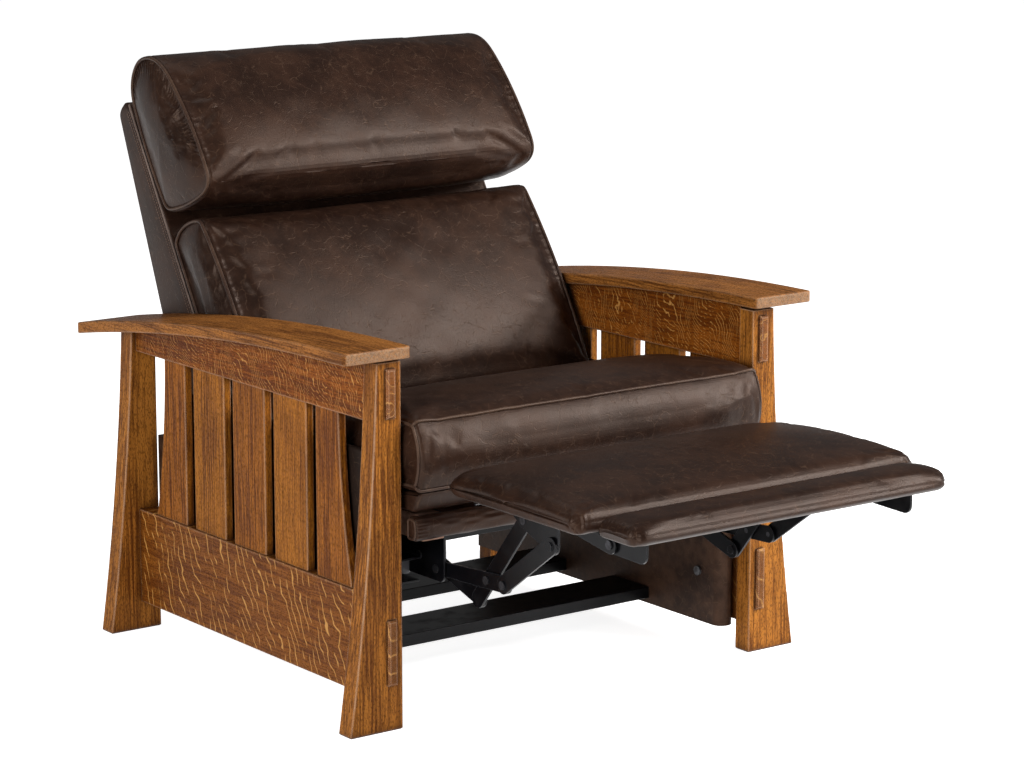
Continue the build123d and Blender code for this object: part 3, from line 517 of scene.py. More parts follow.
def outline(corners: Points, bulges: Floats, count: int) -> Array:
    """A closed outline whose sides bow outward.

    Each side runs straight from corner to corner and is pushed out along its normal by
    4 b t (1 - t), with t from 0 to 1 along it and b its bulge.

    Args:
        corners: The corners in order, anticlockwise in the side view.
        bulges: How far the middle of each side stands out.
        count: How many points to give.

    Returns:
        The points, evenly spread over the sides' lengths.
    """
    start = np.array(corners, float)
    along = np.roll(start, -1, 0) - start
    length = np.linalg.norm(along, axis=1)
    reached = np.concatenate([[0.0], np.cumsum(length)])
    travel = np.arange(count) / count * reached[-1]
    side = np.searchsorted(reached, travel, "right") - 1
    t = ((travel - reached[side]) / length[side])[:, None]
    outward = np.stack([along[:, 1], -along[:, 0]], 1) / length[:, None]
    bow = 4 * np.array(bulges, float)[side][:, None] * t * (1 - t)
    return start[side] + along[side] * t + outward[side] * bow


def softened(points: Array, spread: float) -> Array:
    """Rounds a closed outline's corners.

    The points are averaged over their neighbours with a bell curve, done as a product of
    its spectrum with exp(-(2 pi k s / P) ** 2 / 2), with s the spread and P the perimeter.

    Args:
        points: The outline.
        spread: The bell curve's spread, in the outline's unit.

    Returns:
        The rounded outline.
    """
    perimeter = np.linalg.norm(np.roll(points, -1, 0) - points, axis=1).sum()
    waves = np.fft.fftfreq(len(points)) * len(points)
    keep = np.exp(-0.5 * (2 * np.pi * waves * spread / perimeter) ** 2)
    spectrum = np.fft.fft(points[:, 0] + 1j * points[:, 1]) * keep
    smooth = np.fft.ifft(spectrum)
    return np.stack([smooth.real, smooth.imag], 1)


def unit(vectors: Array) -> Array:
    """Vectors scaled to a length of 1."""
    return vectors / (np.linalg.norm(vectors, axis=-1, keepdims=True) + 1e-12)


def outward_normals(points: Array) -> Array:
    """The outward normal at each point of an anticlockwise outline."""
    along = np.roll(points, -1, 0) - np.roll(points, 1, 0)
    return unit(np.stack([along[:, 1], -along[:, 0]], 1))


def wander(count: int, waves: float, seed: int) -> Array:
    """A closed run of seeded noise about 0, mostly within -1 to 1, with so many waves."""
    spectrum = np.fft.rfft(np.random.default_rng(seed).normal(size=count))
    order = np.arange(len(spectrum))
    spectrum *= np.exp(-(((order - waves) / (0.35 * waves + 1)) ** 2))
    run = np.fft.irfft(spectrum, count)
    return run / (2.0 * run.std())


def to_chair(points: Array, x: Array, front: float) -> Array:
    """Side-view points in millimetres set at widths x, as points in metres."""
    y = points[..., 0] * MM + front
    return np.stack([np.broadcast_to(x * MM, y.shape), y, points[..., 1] * MM], -1)


def skin_faces(rows: int, around: int) -> Array:
    """Four-cornered faces between rings of points."""
    i = np.arange(rows - 1)[:, None] * around
    j = np.arange(around)[None, :]
    k = (j + 1) % around
    corners = np.stack([i + j, i + k, i + around + k, i + around + j], -1)
    return corners.reshape(-1, 4)


def capped(rings: Array, poles: Array) -> tuple:
    """Closes rings of points into a skin, with a fan of faces at each end.

    Args:
        rings: The points, a row for each ring.
        poles: The middle point of the first fan and that of the last.

    Returns:
        The points and the faces.
    """
    rows, around = rings.shape[:2]
    j = np.arange(around)
    k = (j + 1) % around
    pole = np.full(around, rows * around)
    base = (rows - 1) * around
    first = np.stack([pole, k, j], 1)
    last = np.stack([pole + 1, base + j, base + k], 1)
    points = np.concatenate([rings.reshape(-1, 3), poles])
    return points, [skin_faces(rows, around), first, last]


def make_piece(name: str, parts: list, material: Optional[Material]) -> Piece:
    """Puts parts into one smooth mesh object.

    Args:
        name: The piece's name.
        parts: Points in metres, each with arrays of faces of one number of corners.
        material: The piece's material.

    Returns:
        The object, at the origin.
    """
    points, faces = [], []
    for places, groups in parts:
        faces += [face for group in groups for face in (group + len(points)).tolist()]
        points += places.tolist()
    mesh = bpy.data.meshes.new(name)
    mesh.from_pydata(points, [], faces)
    mesh.shade_smooth()
    mesh.validate()
    mesh.materials.append(material)
    piece = bpy.data.objects.new(name, mesh)
    bpy.context.scene.collection.objects.link(piece)
    return piece


def path_frame(path: Array, hint: Floats, loop: bool = False) -> tuple:
    """Three directions at each point of a path, which may close on itself.

    They run along it, square to it and to a hint that it never follows, and square to both.
    """
    gap = np.roll(path, -1, 0) - np.roll(path, 1, 0) if loop else np.gradient(path, axis=0)
    along = unit(gap)
    side = unit(np.cross(along, np.broadcast_to(np.array(hint), along.shape)))
    return along, side, np.cross(side, along)


def cord_piece(name: str, paths: list, radius: float, material: Optional[Material],
               hint: Floats = ACROSS, loop: bool = False) -> Piece:
    """One piece made of round cords along several paths.

    Each ring is c + r (cos a s + sin a v), with s and v the path's two side directions.

    Args:
        name: The piece's name.
        paths: The paths, in metres.
        radius: The cords' radius, in millimetres.
        material: The piece's material.
        hint: A direction that no path runs along.
        loop: Whether the paths close on themselves.

    Returns:
        The object.
    """
    angle = (np.arange(CORD_SIDES) / CORD_SIDES * 2 * np.pi)[:, None]
    parts = []
    for path in paths:
        _, side, other = path_frame(path, hint, loop)
        ring = side[:, None] * np.cos(angle) + other[:, None] * np.sin(angle)
        rings = path[:, None] + radius * MM * ring
        if loop:
            faces = skin_faces(len(path) + 1, CORD_SIDES) % (len(path) * CORD_SIDES)
            parts.append((rings.reshape(-1, 3), [faces]))
        else:
            parts.append(capped(rings, path[[0, -1]]))
    return make_piece(name, parts, material)


def stitch_piece(name: str, paths: list, material: Optional[Material]) -> Piece:
    """A row of single stitches along each path, given in metres.

    Stitch centres lie at equal steps of the path's length. Each stitch is a bead whose
    section shrinks to its ends as sin a.
    """
    turn = np.array([0.12, 0.5, 0.88])[:, None] * np.pi
    angle = np.arange(BEAD_SIDES) / BEAD_SIDES * 2 * np.pi
    girth = np.sin(turn) * STITCH_RADIUS * MM
    lengthwise = np.repeat(-np.cos(turn), BEAD_SIDES) * STITCH_LENGTH * MM / 2
    across, up = (girth * np.cos(angle)).ravel(), (girth * np.sin(angle)).ravel()
    ring = np.arange(BEAD_SIDES)
    lids = np.stack([ring[::-1], ring + (len(turn) - 1) * BEAD_SIDES])
    parts = []
    for path in paths:
        step = np.linalg.norm(np.diff(path, axis=0), axis=1)
        travel = np.concatenate([[0.0], np.cumsum(step)])
        at = np.arange(STITCH_PITCH * MM / 2, travel[-1], STITCH_PITCH * MM)
        centre = np.stack([np.interp(at, travel, path[:, k]) for k in range(3)], 1)
        directions = path_frame(centre, ACROSS)
        beads = centre[:, None] + sum(
            direction[:, None] * size[:, None]
            for direction, size in zip(directions, (lengthwise, across, up))
        )
        offset = np.arange(len(centre))[:, None, None] * len(across)
        skin = (skin_faces(len(turn), BEAD_SIDES) + offset).reshape(-1, 4)
        faces = [skin, (lids + offset).reshape(-1, BEAD_SIDES)]
        parts.append((beads.reshape(-1, 3), faces))
    return make_piece(name, parts, material)


def applied(piece: Piece) -> tuple[bpy.types.Mesh, Array]:
    """Takes a piece's modifiers off, and gives a mesh with them applied and its points."""
    bpy.context.view_layer.update()
    shown = piece.evaluated_get(bpy.context.evaluated_depsgraph_get())
    mesh = bpy.data.meshes.new_from_object(shown)
    piece.modifiers.clear()
    points = np.empty(len(mesh.vertices) * 3, np.float32)
    mesh.vertices.foreach_get("co", points)
    return mesh, points.reshape(-1, 3).astype(float)


# Stuffed forms


@dataclass
class SoftForm:
    """A stuffed form: an outline carried across the chair, with a bowed panel at each end.

    It stands for the CAD node of that name. The datum, front, is in metres.
    """

    node: str
    front: float
    half_width: float
    corners: Points
    bulges: Floats
    middle_bulges: Floats
    rounding: float = 9.0
    end_round: float = 6.0
    puff: float = 6.0
    crown_power: float = 2.6
    shrink: float = 0.0
    seated_on: Point = (0.0, -1.0)
    around: int = 360
    stations: int = 150
    rings: int = 20

    def __post_init__(self) -> None:
        """Works out the grid of points.

        The stations across the chair lie closer together near the ends. Across the width
        the outline is the end outline plus (1 - |s| ** power) of the way to the middle one.
        Within end_round of each end it moves in along its normal by
        r - sqrt(r ** 2 - (r - e) ** 2), with e the distance to the end. Each end panel
        shrinks the last outline to its centre as q goes from 1 to 0, and bows out by
        puff (1 - q ** 2).
        """
        ends = softened(outline(self.corners, self.bulges, self.around), self.rounding)
        middle = softened(outline(self.corners, self.middle_bulges, self.around), self.rounding)
        s = np.linspace(-1, 1, self.stations)
        x = self.half_width * (0.68 * s + 0.32 * np.sin(s * np.pi / 2))
        crown = (1 - np.abs(x / self.half_width) ** self.crown_power)[:, None, None]
        left = np.clip(self.half_width - np.abs(x), 0, self.end_round)
        turn = self.end_round - np.sqrt(self.end_round**2 - (self.end_round - left) ** 2)
        sections = ends * (1 - crown) + middle * crown
        sections -= outward_normals(ends) * (turn + self.shrink)[:, None, None]
        centre = sections[0].mean(0)
        q = (np.arange(1, self.rings + 1) / (self.rings + 1))[:, None, None] ** 0.8
        panel = centre + (sections[0] - centre) * q
        bow = self.half_width + self.puff * (1 - q[:, :, 0] ** 2)
        bow = np.broadcast_to(bow, (self.rings, self.around))
        body = to_chair(sections, x[:, None], self.front)
        first = to_chair(panel, -bow, self.front)
        last = to_chair(panel[::-1], bow[::-1], self.front)
        self.grid = np.concatenate([first, body, last])
        self.wrap = slice(self.rings, self.rings + self.stations)
        self.on_wrap = np.zeros((len(self.grid), 1), bool)
        self.on_wrap[self.wrap] = True

    def normals(self) -> Array:
        """The outward normal at each point of the grid."""
        round_ = np.roll(self.grid, -1, 1) - np.roll(self.grid, 1, 1)
        return unit(np.cross(round_, np.gradient(self.grid, axis=0)))

    def seam_distance(self) -> Array:
        """Each point's distance in millimetres from its nearer end seam, along the skin."""
        step = np.linalg.norm(np.diff(self.grid, axis=0), axis=2) / MM
        travel = np.concatenate([np.zeros((1, self.around)), np.cumsum(step, 0)])
        seams = travel[self.wrap][[0, -1]]
        return np.abs(travel[:, None] - seams).min(1)

    def swell(self, cap: float, voxel: float = 6.0) -> None:
        """Lets the cover swell like a stuffed one, by cloth under pressure.

        A remeshed copy swells with its seams free. The grid then moves on to it, by no
        more than the cap, and not at all at the seams and where the form is seated.

        Args:
            cap: The furthest that a point may move, in millimetres.
            voxel: The copy's mesh size in millimetres.
        """
        scene = bpy.context.scene
        trial = self.make("swelling_" + self.node, None)
        remesh = trial.modifiers.new("remesh", "REMESH")
        remesh.mode = "VOXEL"
        remesh.voxel_size = voxel * MM
        trial.data, before = applied(trial)
        cloth = trial.modifiers.new("cloth", "CLOTH")
        for key, value in CLOTH_SETTINGS.items():
            setattr(cloth.settings, key, value)
        cloth.settings.effector_weights.gravity = 0.0
        cloth.collision_settings.use_collision = False
        cloth.point_cache.frame_start = 1
        cloth.point_cache.frame_end = CLOTH_FRAMES
        for frame_number in range(1, CLOTH_FRAMES + 1):
            scene.frame_set(frame_number)
        swollen, after = applied(trial)
        scene.frame_set(1)
        move = after - before
        far = np.linalg.norm(move, axis=1)[:, None] + 1e-9
        limited = before + move / far * np.minimum(far, cap * MM)
        swollen.vertices.foreach_set("co", limited.astype(np.float32).ravel())
        trial.data = swollen
        follower = self.make("following_" + self.node, None)
        wrap = follower.modifiers.new("wrap", "SHRINKWRAP")
        wrap.wrap_method = "NEAREST_SURFACEPOINT"
        wrap.target = trial
        settled = applied(follower)[1][:-2].reshape(self.grid.shape)
        normal = self.normals()
        seated = normal[:, :, 1] * self.seated_on[0] + normal[:, :, 2] * self.seated_on[1]
        share = np.clip(0.75 - seated * 1.3, 0, 1) * self.clear_of_seams(SEAM_HOLD)
        self.grid = self.grid + (settled - self.grid) * share[:, :, None]
        for helper in (trial, follower):
            bpy.data.objects.remove(helper)

    def clear_of_seams(self, width: float) -> Array:
        """A share that rises from 0 at the end seams to 1 well beyond a width from them."""
        return 1 - np.exp(-((self.seam_distance() / width) ** 2))

    def push(self, amount: Array) -> None:
        """Moves the skin out along its normals by an amount in millimetres."""
        self.grid = self.grid + self.normals() * (amount * MM)[:, :, None]

    def pucker(self, depth: float, reach: float, waves: float, seed: int,
               where: Point = (0.0, 1.0), panel: bool = False) -> None:
        """Gathers the skin at its end seams.

        The skin moves by depth times a run of noise around the seam, with narrow valleys,
        times exp(-e / reach), with e the distance from the seam.

        Args:
            depth: How deep the gathers are at the seam, in millimetres.
            reach: How far they run, in millimetres.
            waves: How many there would be all round.
            seed: The seed.
            where: The shares of the outline between which they lie.
            panel: Whether they lie on the end panel and not on the wrap.
        """
        run = wander(self.around, waves, seed)
        run = np.where(run < 0, -np.sqrt(np.abs(run)), run * 0.6)
        if where != (0.0, 1.0):
            share = np.arange(self.around) / self.around
            run *= np.clip(np.minimum(share - where[0], where[1] - share) / 0.02, 0, 1)
        distance = self.seam_distance()
        fade = np.exp(-distance / reach) * np.clip(1 - distance / (3.2 * reach), 0, 1)
        self.push(depth * fade * self.clear_of_seams(2.5) * (self.on_wrap != panel) * run)

    def round_plan(self, front: float, rear: float) -> None:
        """Rounds the corners that the form has when seen from above.

        A point dx and dy into a corner's square moves in to max(dx, dy) / hypot(dx, dy) of
        them, which turns the square into a quarter circle. The front and rear corners have
        their own radius, in millimetres.
        """
        x, y = self.grid[..., 0] / MM, self.grid[..., 1] / MM
        half, low, high = np.abs(x).max(), y.min(), y.max()
        for radius, inward, way in ((front, y - low, 1), (rear, high - y, -1)):
            dx = np.clip(np.abs(x) - half + radius, 0, None)
            dy = np.clip(radius - inward, 0, None)
            moved = 1 - np.maximum(dx, dy) / (np.hypot(dx, dy) + 1e-9)
            self.grid[..., 0] -= np.sign(x) * dx * moved * MM
            self.grid[..., 1] += way * dy * moved * MM

    def rumple(self, depth: float, seed: int) -> None:
        """Gives the wrap soft seeded bumps that fade out towards the seams."""
        rows, around = self.grid.shape[:2]
        along = [wander(rows * 2, waves, seed + k)[:rows] for k, waves in enumerate((9, 17))]
        round_ = [wander(around, waves, seed + 7 + k) for k, waves in enumerate((5, 9))]
        bumps = np.array(along).T @ np.array(round_)
        self.push(depth * bumps * self.on_wrap * self.clear_of_seams(30.0))

    def groove(self, depth: float, width: float) -> None:
        """Sinks both end seams by a depth, over a width, in millimetres."""
        self.push(depth * (self.clear_of_seams(width) - 1))

    def folds(self, table: Sequence[tuple]) -> None:
        """Presses the same folds into both ends of the form.

        The skin sinks by depth exp(-(d / width) ** 2) and rises beside the fold by a third
        of it, with d the distance from the line between two points.

        Args:
            table: For each fold its start and its end at the +X side, then its half width
                and its depth, in millimetres.
        """
        datum = np.array([0.0, self.front / MM, 0.0])
        for mirror, (start, end, width, depth) in product(((-1, 1, 1), (1, 1, 1)), table):
            a, b = (np.array(mirror) * point + datum for point in (start, end))
            run = b - a
            points = self.grid / MM
            share = np.clip(((points - a) @ run) / (run @ run), 0, 1)
            distance = np.linalg.norm(points - (a + share[:, :, None] * run), axis=2) / width
            taper = np.clip(1.15 - 1.15 * np.abs(2 * share - 1) ** 3, 0, 1)
            ridge = 0.34 * np.exp(-((distance - 1.7) ** 2))
            self.push(depth * taper * (ridge - np.exp(-(distance**2))))

    def seam_paths(self, lift: float) -> list[Array]:
        """The lines of both end seams, a lift in millimetres off the skin."""
        return list((self.grid + self.normals() * lift * MM)[self.wrap][[0, -1]])

    def make(self, name: str, material: Optional[Material]) -> Piece:
        """The form as one closed mesh object of that name and material."""
        poles = np.stack([self.grid[0].mean(0), self.grid[-1].mean(0)])
        return make_piece(name, [capped(self.grid, poles)], material)


# Sub-assemblies


@dataclass
class Workshop:
    """What every sub-assembly needs: the frame's nodes, the finishes and the datum."""

    nodes: dict
    front: float
    made: dict = field(default_factory=dict)

    def material(self, finish: object) -> Material:
        """The material of a finish, made once."""
        if finish.name not in self.made:
            self.made[finish.name] = finish.build()
        return self.made[finish.name]

    def dress(self, finish: object, *names: str) -> None:
        """Gives CAD nodes their finish."""
        for name in names:
            for slot in self.nodes[name].material_slots:
                slot.material = self.material(finish)
        LOG.info("%s dresses %s", finish.name, ", ".join(names))

    def place(self, piece: Piece, body: str) -> None:
        """Sets a new leather piece on the body that it moves with."""
        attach(piece, body)
        LOG.info("%s rides on %s, %d faces", piece.name, body, len(piece.data.polygons))

    def upholster(self, form: SoftForm, body: str) -> None:
        """Makes a form's padded leather cover in place of its node."""
        piece = form.make(form.node + "_cover", self.material(LEATHER))
        self.place(piece, body)
        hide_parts(form.node)

    def pipe(self, form: SoftForm, name: str, body: str, lift: float, radius: float) -> None:
        """Sets piping around both end seams of a form, its middle a lift off the skin."""
        welt = self.material(WELT_LEATHER)
        self.place(cord_piece(name, form.seam_paths(lift), radius, welt, loop=True), body)


LEATHER = LeatherFinish("espresso_leather")
PANEL_LEATHER = LeatherFinish("panel_leather", warm=(0.060, 0.031, 0.019), roughness=0.46)
LINING_LEATHER = LeatherFinish(
    "lining_leather", dark=(0.0060, 0.0038, 0.0032), warm=(0.0130, 0.0075, 0.0055), roughness=0.5
)
WELT_LEATHER = LeatherFinish(
    "welt_leather", dark=(0.028, 0.015, 0.011), warm=(0.060, 0.034, 0.022), roughness=0.32
)
RUBBED_LEATHER = LeatherFinish(
    "rubbed_leather", dark=(0.085, 0.060, 0.050), warm=(0.170, 0.125, 0.105), roughness=0.40
)
BLACK_PAINT = PaintedSteelFinish("black_paint")
PLATED_STEEL = BrightSteelFinish("plated_steel")
RIVET_STEEL = BrightSteelFinish("rivet_steel", steel=(0.055, 0.055, 0.062))
SEAT_WOOD = PlainWoodFinish("seat_wood")
DOWEL_WOOD = PlainWoodFinish("dowel_wood", pale=(0.66, 0.48, 0.31), dark=(0.45, 0.30, 0.18))
NYLON = SpeckledFinish(
    "glide_nylon", (0.07, 0.07, 0.078), (0.11, 0.11, 0.118), 900.0, spread=0.18, depth=0.0001,
    strength=0.4,
)
THREAD = SpeckledFinish(
    "brown_thread", (0.13, 0.072, 0.045), (0.21, 0.125, 0.085), 1800.0, detail=1.0
)


@dataclass
class SideFrames:
    """The oak side frames and what is fixed to them."""

    slat_tones: Floats = (0.97, 1.03, 0.98, 1.04, 0.96)
    leg: OakFinish = OakFinish("oak_leg", Grain.UP, shift=0.13)
    arm: OakFinish = OakFinish(
        "oak_arm", Grain.ALONG, shift=0.71, end_share=0.7, deep=(0.098, 0.0310, 0.0060),
        golden=(0.330, 0.125, 0.0260), cut_end=(0.29, 0.195, 0.125),
    )
    top: OakFinish = OakFinish(
        "oak_top_rail", Grain.ALONG, fleck=0.62, fleck_rate=120.0, fleck_run=30.0,
        slant=-80.0, sway=20.0, shift=0.29, deep=(0.104, 0.024, 0.0022),
        golden=(0.250, 0.070, 0.0070), cut_end=(0.16, 0.068, 0.026),
    )
    bottom: OakFinish = OakFinish(
        "oak_bottom_rail", Grain.ALONG, fleck=0.74, fleck_rate=54.0, fleck_run=9.0,
        sway=4.0, shift=0.37, deep=(0.112, 0.030, 0.0040), golden=(0.235, 0.076, 0.0100),
        cut_end=(0.16, 0.068, 0.026),
    )

    def slat_finish(self, index: int) -> OakFinish:
        """The finish of one slat, some redder and some more golden."""
        tone = self.slat_tones[index]
        return OakFinish(
            f"oak_slat_{index + 1}", Grain.UP, shift=0.61 * index,
            deep=(0.112 * tone, 0.030 * tone**2, 0.0030),
            golden=(0.350 * tone, 0.120 * tone**2, 0.0130 * tone**2),
        )

    def dress(self, shop: Workshop) -> None:
        """Dresses the oak, the leather panels and the black rails."""
        for side in ("left", "right"):
            shop.dress(self.leg, f"front_leg_{side}", f"rear_leg_{side}")
            shop.dress(self.arm, f"arm_{side}")
            shop.dress(self.top, f"top_rail_{side}")
            shop.dress(self.bottom, f"bottom_rail_{side}")
            shop.dress(PANEL_LEATHER, f"side_panel_{side}")
            shop.dress(LINING_LEATHER, f"side_lining_{side}")
            shop.dress(BLACK_PAINT, f"seat_track_{side}")
            for index in range(len(self.slat_tones)):
                shop.dress(self.slat_finish(index), f"slat_{side}_{index + 1}")
        shop.dress(DOWEL_WOOD, "arm_dowels")
        shop.dress(BLACK_PAINT, "cross_rail_front", "cross_rail_rear")
        shop.dress(PLATED_STEEL, "frame_bolts")


@dataclass
class Seat:
    """The seat cushion, the deck under it, the padded front rail and the hidden frame."""

    half_width: float = 346.5
    corners: Points = ((-30.0, 383.0), (372.0, 362.0), (372.0, 436.0), (-23.0, 500.0))
    deck_corners: Points = (
        (-10.0, 348.9), (372.0, 348.9), (372.0, 361.6), (-30.0, 382.6),
    )
    rail_corners: Points = ((-19.0, 305.0), (4.0, 305.0), (4.0, 340.0), (-19.0, 340.0))
    frame_half_width: float = 343.0
    piping: float = 2.9
    rail_piping: float = 2.0

    def cushion(self, shop: Workshop) -> None:
        """The box cushion with its front welts and the folds at its front corners."""
        form = SoftForm(
            "seat_cushion", shop.front, self.half_width, self.corners, (0, 5, 21, 17),
            (0, 5, 27, 23), rounding=7.0, end_round=9.0, puff=3.0, crown_power=3.0,
            shrink=2.0, stations=160,
        )
        form.swell(cap=7.0)
        form.folds([
            ((324, -36, 494), (334, -44, 400), 5.0, 1.5),
            ((304, -36, 494), (298, -44, 400), 7.0, 0.9),
            ((280, -36, 494), (289, -44, 400), 10.0, 0.6),
            ((316, 10, 512), (262, 110, 517), 12.0, 2.0),
        ])
        form.groove(1.2, 3.5)
        form.rumple(0.7, 25)
        shop.upholster(form, "seat")
        self.front_welts(shop, form)
        shop.pipe(form, "seat_end_welts", "seat", 0.8, self.piping * 0.9)

    def front_welts(self, shop: Workshop, form: SoftForm) -> None:
        """Piping along the cushion's upper and lower front edges."""
        skin = form.grid[form.wrap]
        lifted = skin + form.normals()[form.wrap] * 1.2 * MM
        middle = skin[len(skin) // 2][:, 1:]
        paths = []
        for corner in (self.corners[3], self.corners[0]):
            target = np.array(corner) * MM + (shop.front, 0)
            column = int(np.argmin(np.linalg.norm(middle - target, axis=1)))
            paths.append(lifted[:, column])
        welt = shop.material(WELT_LEATHER)
        hint = (0.0, 0.6, 1.0)
        shop.place(cord_piece("seat_front_welts", paths, self.piping, welt, hint), "seat")

    def deck(self, shop: Workshop) -> None:
        """The thin padded deck that the cushion lies on."""
        form = SoftForm(
            "seat_deck", shop.front, self.frame_half_width, self.deck_corners, (0, 0, 0, 2),
            (0, 0, 0, 2), rounding=3.0, end_round=4.0, puff=1.0, around=240, stations=110,
            rings=8,
        )
        form.rumple(0.35, 5)
        shop.upholster(form, "seat")

    def front_rail(self, shop: Workshop) -> None:
        """The padded front rail, its leather folded over each end and sewn."""
        form = SoftForm(
            "seat_front_rail", shop.front, self.frame_half_width, self.rail_corners,
            (2, 0, 2, 4), (2, 0, 2, 4), rounding=4.0, end_round=4.0, puff=2.0, around=200,
            rings=10,
        )
        form.pucker(1.4, 22.0, 16.0, 8)
        form.folds([((318, -24, 343), (318, -24, 302), 2.2, 1.6)])
        form.rumple(0.9, 21)
        shop.upholster(form, "seat")
        shop.pipe(form, "seat_front_rail_welts", "seat", 0.6, self.rail_piping)

    def dress(self, shop: Workshop) -> None:
        """Dresses the steel, the springs and the hidden wood, then builds the soft pieces."""
        shop.dress(BLACK_PAINT, "seat_plate_left", "seat_plate_right", "seat_cross_tube")
        shop.dress(SEAT_WOOD, "seat_side_rails", "seat_rear_rail", "seat_slats")
        shop.dress(NYLON, "seat_glides")
        shop.dress(PLATED_STEEL, "seat_springs")
        shop.dress(RIVET_STEEL, "seat_rivets")
        self.cushion(shop)
        self.deck(shop)
        self.front_rail(shop)


@dataclass
class Back:
    """The back: a leather-covered shell, the back cushion and the headrest roll."""

    half_width: float = 338.0
    lean: float = math.radians(31.0)
    foot: Point = (512.0, 355.0)
    shell: Points = ((20, 0), (160, -122), (293, -103), (641, -46), (641, 0))
    cushion_corners: Points = ((12, 124), (12, 0.4), (379, 0.4), (393, 30), (379, 112))
    head_corners: Points = (
        (401, 152), (428, 8), (648, 8), (697, 72), (640, 146), (445, 177),
    )
    piping: float = 3.0
    seam_radius: float = 2.2

    def at(self, u: float, n: float) -> Point:
        """The side-view point u up the back's face and n out in front of it."""
        y = self.foot[0] + u * math.sin(self.lean) - n * math.cos(self.lean)
        return y, self.foot[1] + u * math.cos(self.lean) + n * math.sin(self.lean)

    def form(self, shop: Workshop, node: str, corners: Points, bulges: Floats,
             middle_bulges: Floats, **settings: float) -> SoftForm:
        """A form whose corners are given in the back's own directions, seated on the shell."""
        places = [self.at(*corner) for corner in corners]
        behind = (math.cos(self.lean), -math.sin(self.lean))
        return SoftForm(
            node, shop.front, self.half_width, places, bulges, middle_bulges,
            seated_on=behind, **settings,
        )

    def press_folds(self, form: SoftForm, table: Sequence[tuple]) -> None:
        """Presses folds whose ends are given as x, u and n, then half width and depth."""
        form.folds([
            ((x, *self.at(u, n)), (x_in, *self.at(u_in, n_in)), width, depth)
            for (x, u, n), (x_in, u_in, n_in), width, depth in table
        ])

    def side_lines(self, shop: Workshop, n: float, low: float, high: float, count: int,
                   lift: float) -> list[Array]:
        """Two straight lines of points, in metres, up the shell's sides.

        They lie n in front of the back's face, from low to high up it, a lift off the sides.
        """
        places = np.array([self.at(u, n) for u in np.linspace(low, high, count)])
        reach = self.half_width + lift
        return [
            to_chair(places, np.full(count, side * reach), shop.front) for side in (-1, 1)
        ]

    def cover_shell(self, shop: Workshop) -> None:
        """The shell's cover, with a rubbed seam and two rows of stitches down each side."""
        form = self.form(
            shop, "back_shell", self.shell, (0, 0, 0, 10, 0), (0, 3, 4, 10, 0),
            rounding=5.0, end_round=4.0, puff=1.5, crown_power=6.0, stations=130,
        )
        form.pucker(0.8, 26.0, 34.0, 3)
        shop.upholster(form, "back")
        for index, n in enumerate((-9.0, -16.0)):
            rows = self.side_lines(shop, n, 60, 632, 90, 1.0)
            name = f"back_side_stitches_{index + 1}"
            shop.place(stitch_piece(name, rows, shop.material(THREAD)), "back")
        lines = self.side_lines(shop, -3.0, 40, 640, 120, -0.4)
        rubbed = shop.material(RUBBED_LEATHER)
        shop.place(cord_piece("back_side_seams", lines, self.seam_radius, rubbed), "back")

    def cushion(self, shop: Workshop) -> None:
        """The back cushion, piped down both sides and puckered beside the piping."""
        form = self.form(
            shop, "back_cushion", self.cushion_corners, (0, 0, 0, 7, 13), (0, 0, 0, 7, 25),
            end_round=7.0, puff=4.0, shrink=1.5,
        )
        form.swell(cap=8.0)
        form.pucker(0.9, 20.0, 70.0, 11, where=(0.62, 0.98))
        form.pucker(0.7, 44.0, 30.0, 12, where=(0.60, 0.99))
        form.rumple(0.6, 15)
        self.press_folds(form, [
            ((334, 330, 122), (264, 348, 136), 8.0, 1.0),
            ((334, 262, 122), (244, 252, 136), 8.0, 0.8),
            ((334, 120, 122), (224, 150, 136), 8.0, 1.7),
            ((334, 90, 122), (204, 130, 136), 8.0, 1.5),
            ((334, 62, 122), (234, 98, 136), 8.0, 1.4),
        ])
        form.groove(1.5, 4.0)
        shop.upholster(form, "back")
        shop.pipe(form, "back_cushion_welts", "back", 1.4, self.piping)

    def headrest(self, shop: Workshop) -> None:
        """The headrest roll, with piped end panels that are gathered along the seam."""
        form = self.form(
            shop, "headrest", self.head_corners, (8, 7.6, 12.25, 12.25, 8, 11),
            (14, 7.6, 18.25, 18.25, 14, 17), rounding=13.0, puff=13.0, shrink=1.5,
            around=480, stations=140, rings=30,
        )
        form.swell(cap=8.0)
        form.pucker(5.0, 14.0, 90.0, 31, where=(0.46, 0.92), panel=True)
        form.pucker(0.8, 16.0, 60.0, 32, where=(0.72, 0.98))
        form.rumple(0.5, 35)
        self.press_folds(form, [
            ((330, 404, 160), (246, 450, 174), 7.0, 1.7),
            ((330, 424, 168), (264, 464, 182), 7.0, 1.3),
            ((330, 406, 152), (210, 426, 166), 7.0, 1.2),
        ])
        form.groove(1.6, 4.0)
        shop.upholster(form, "back")
        shop.pipe(form, "headrest_welts", "back", 1.4, self.piping)

    def dress(self, shop: Workshop) -> None:
        """Builds the back's soft pieces and dresses its brackets."""
        shop.dress(BLACK_PAINT, "back_brackets")
        self.cover_shell(shop)
        self.cushion(shop)
        self.headrest(shop)


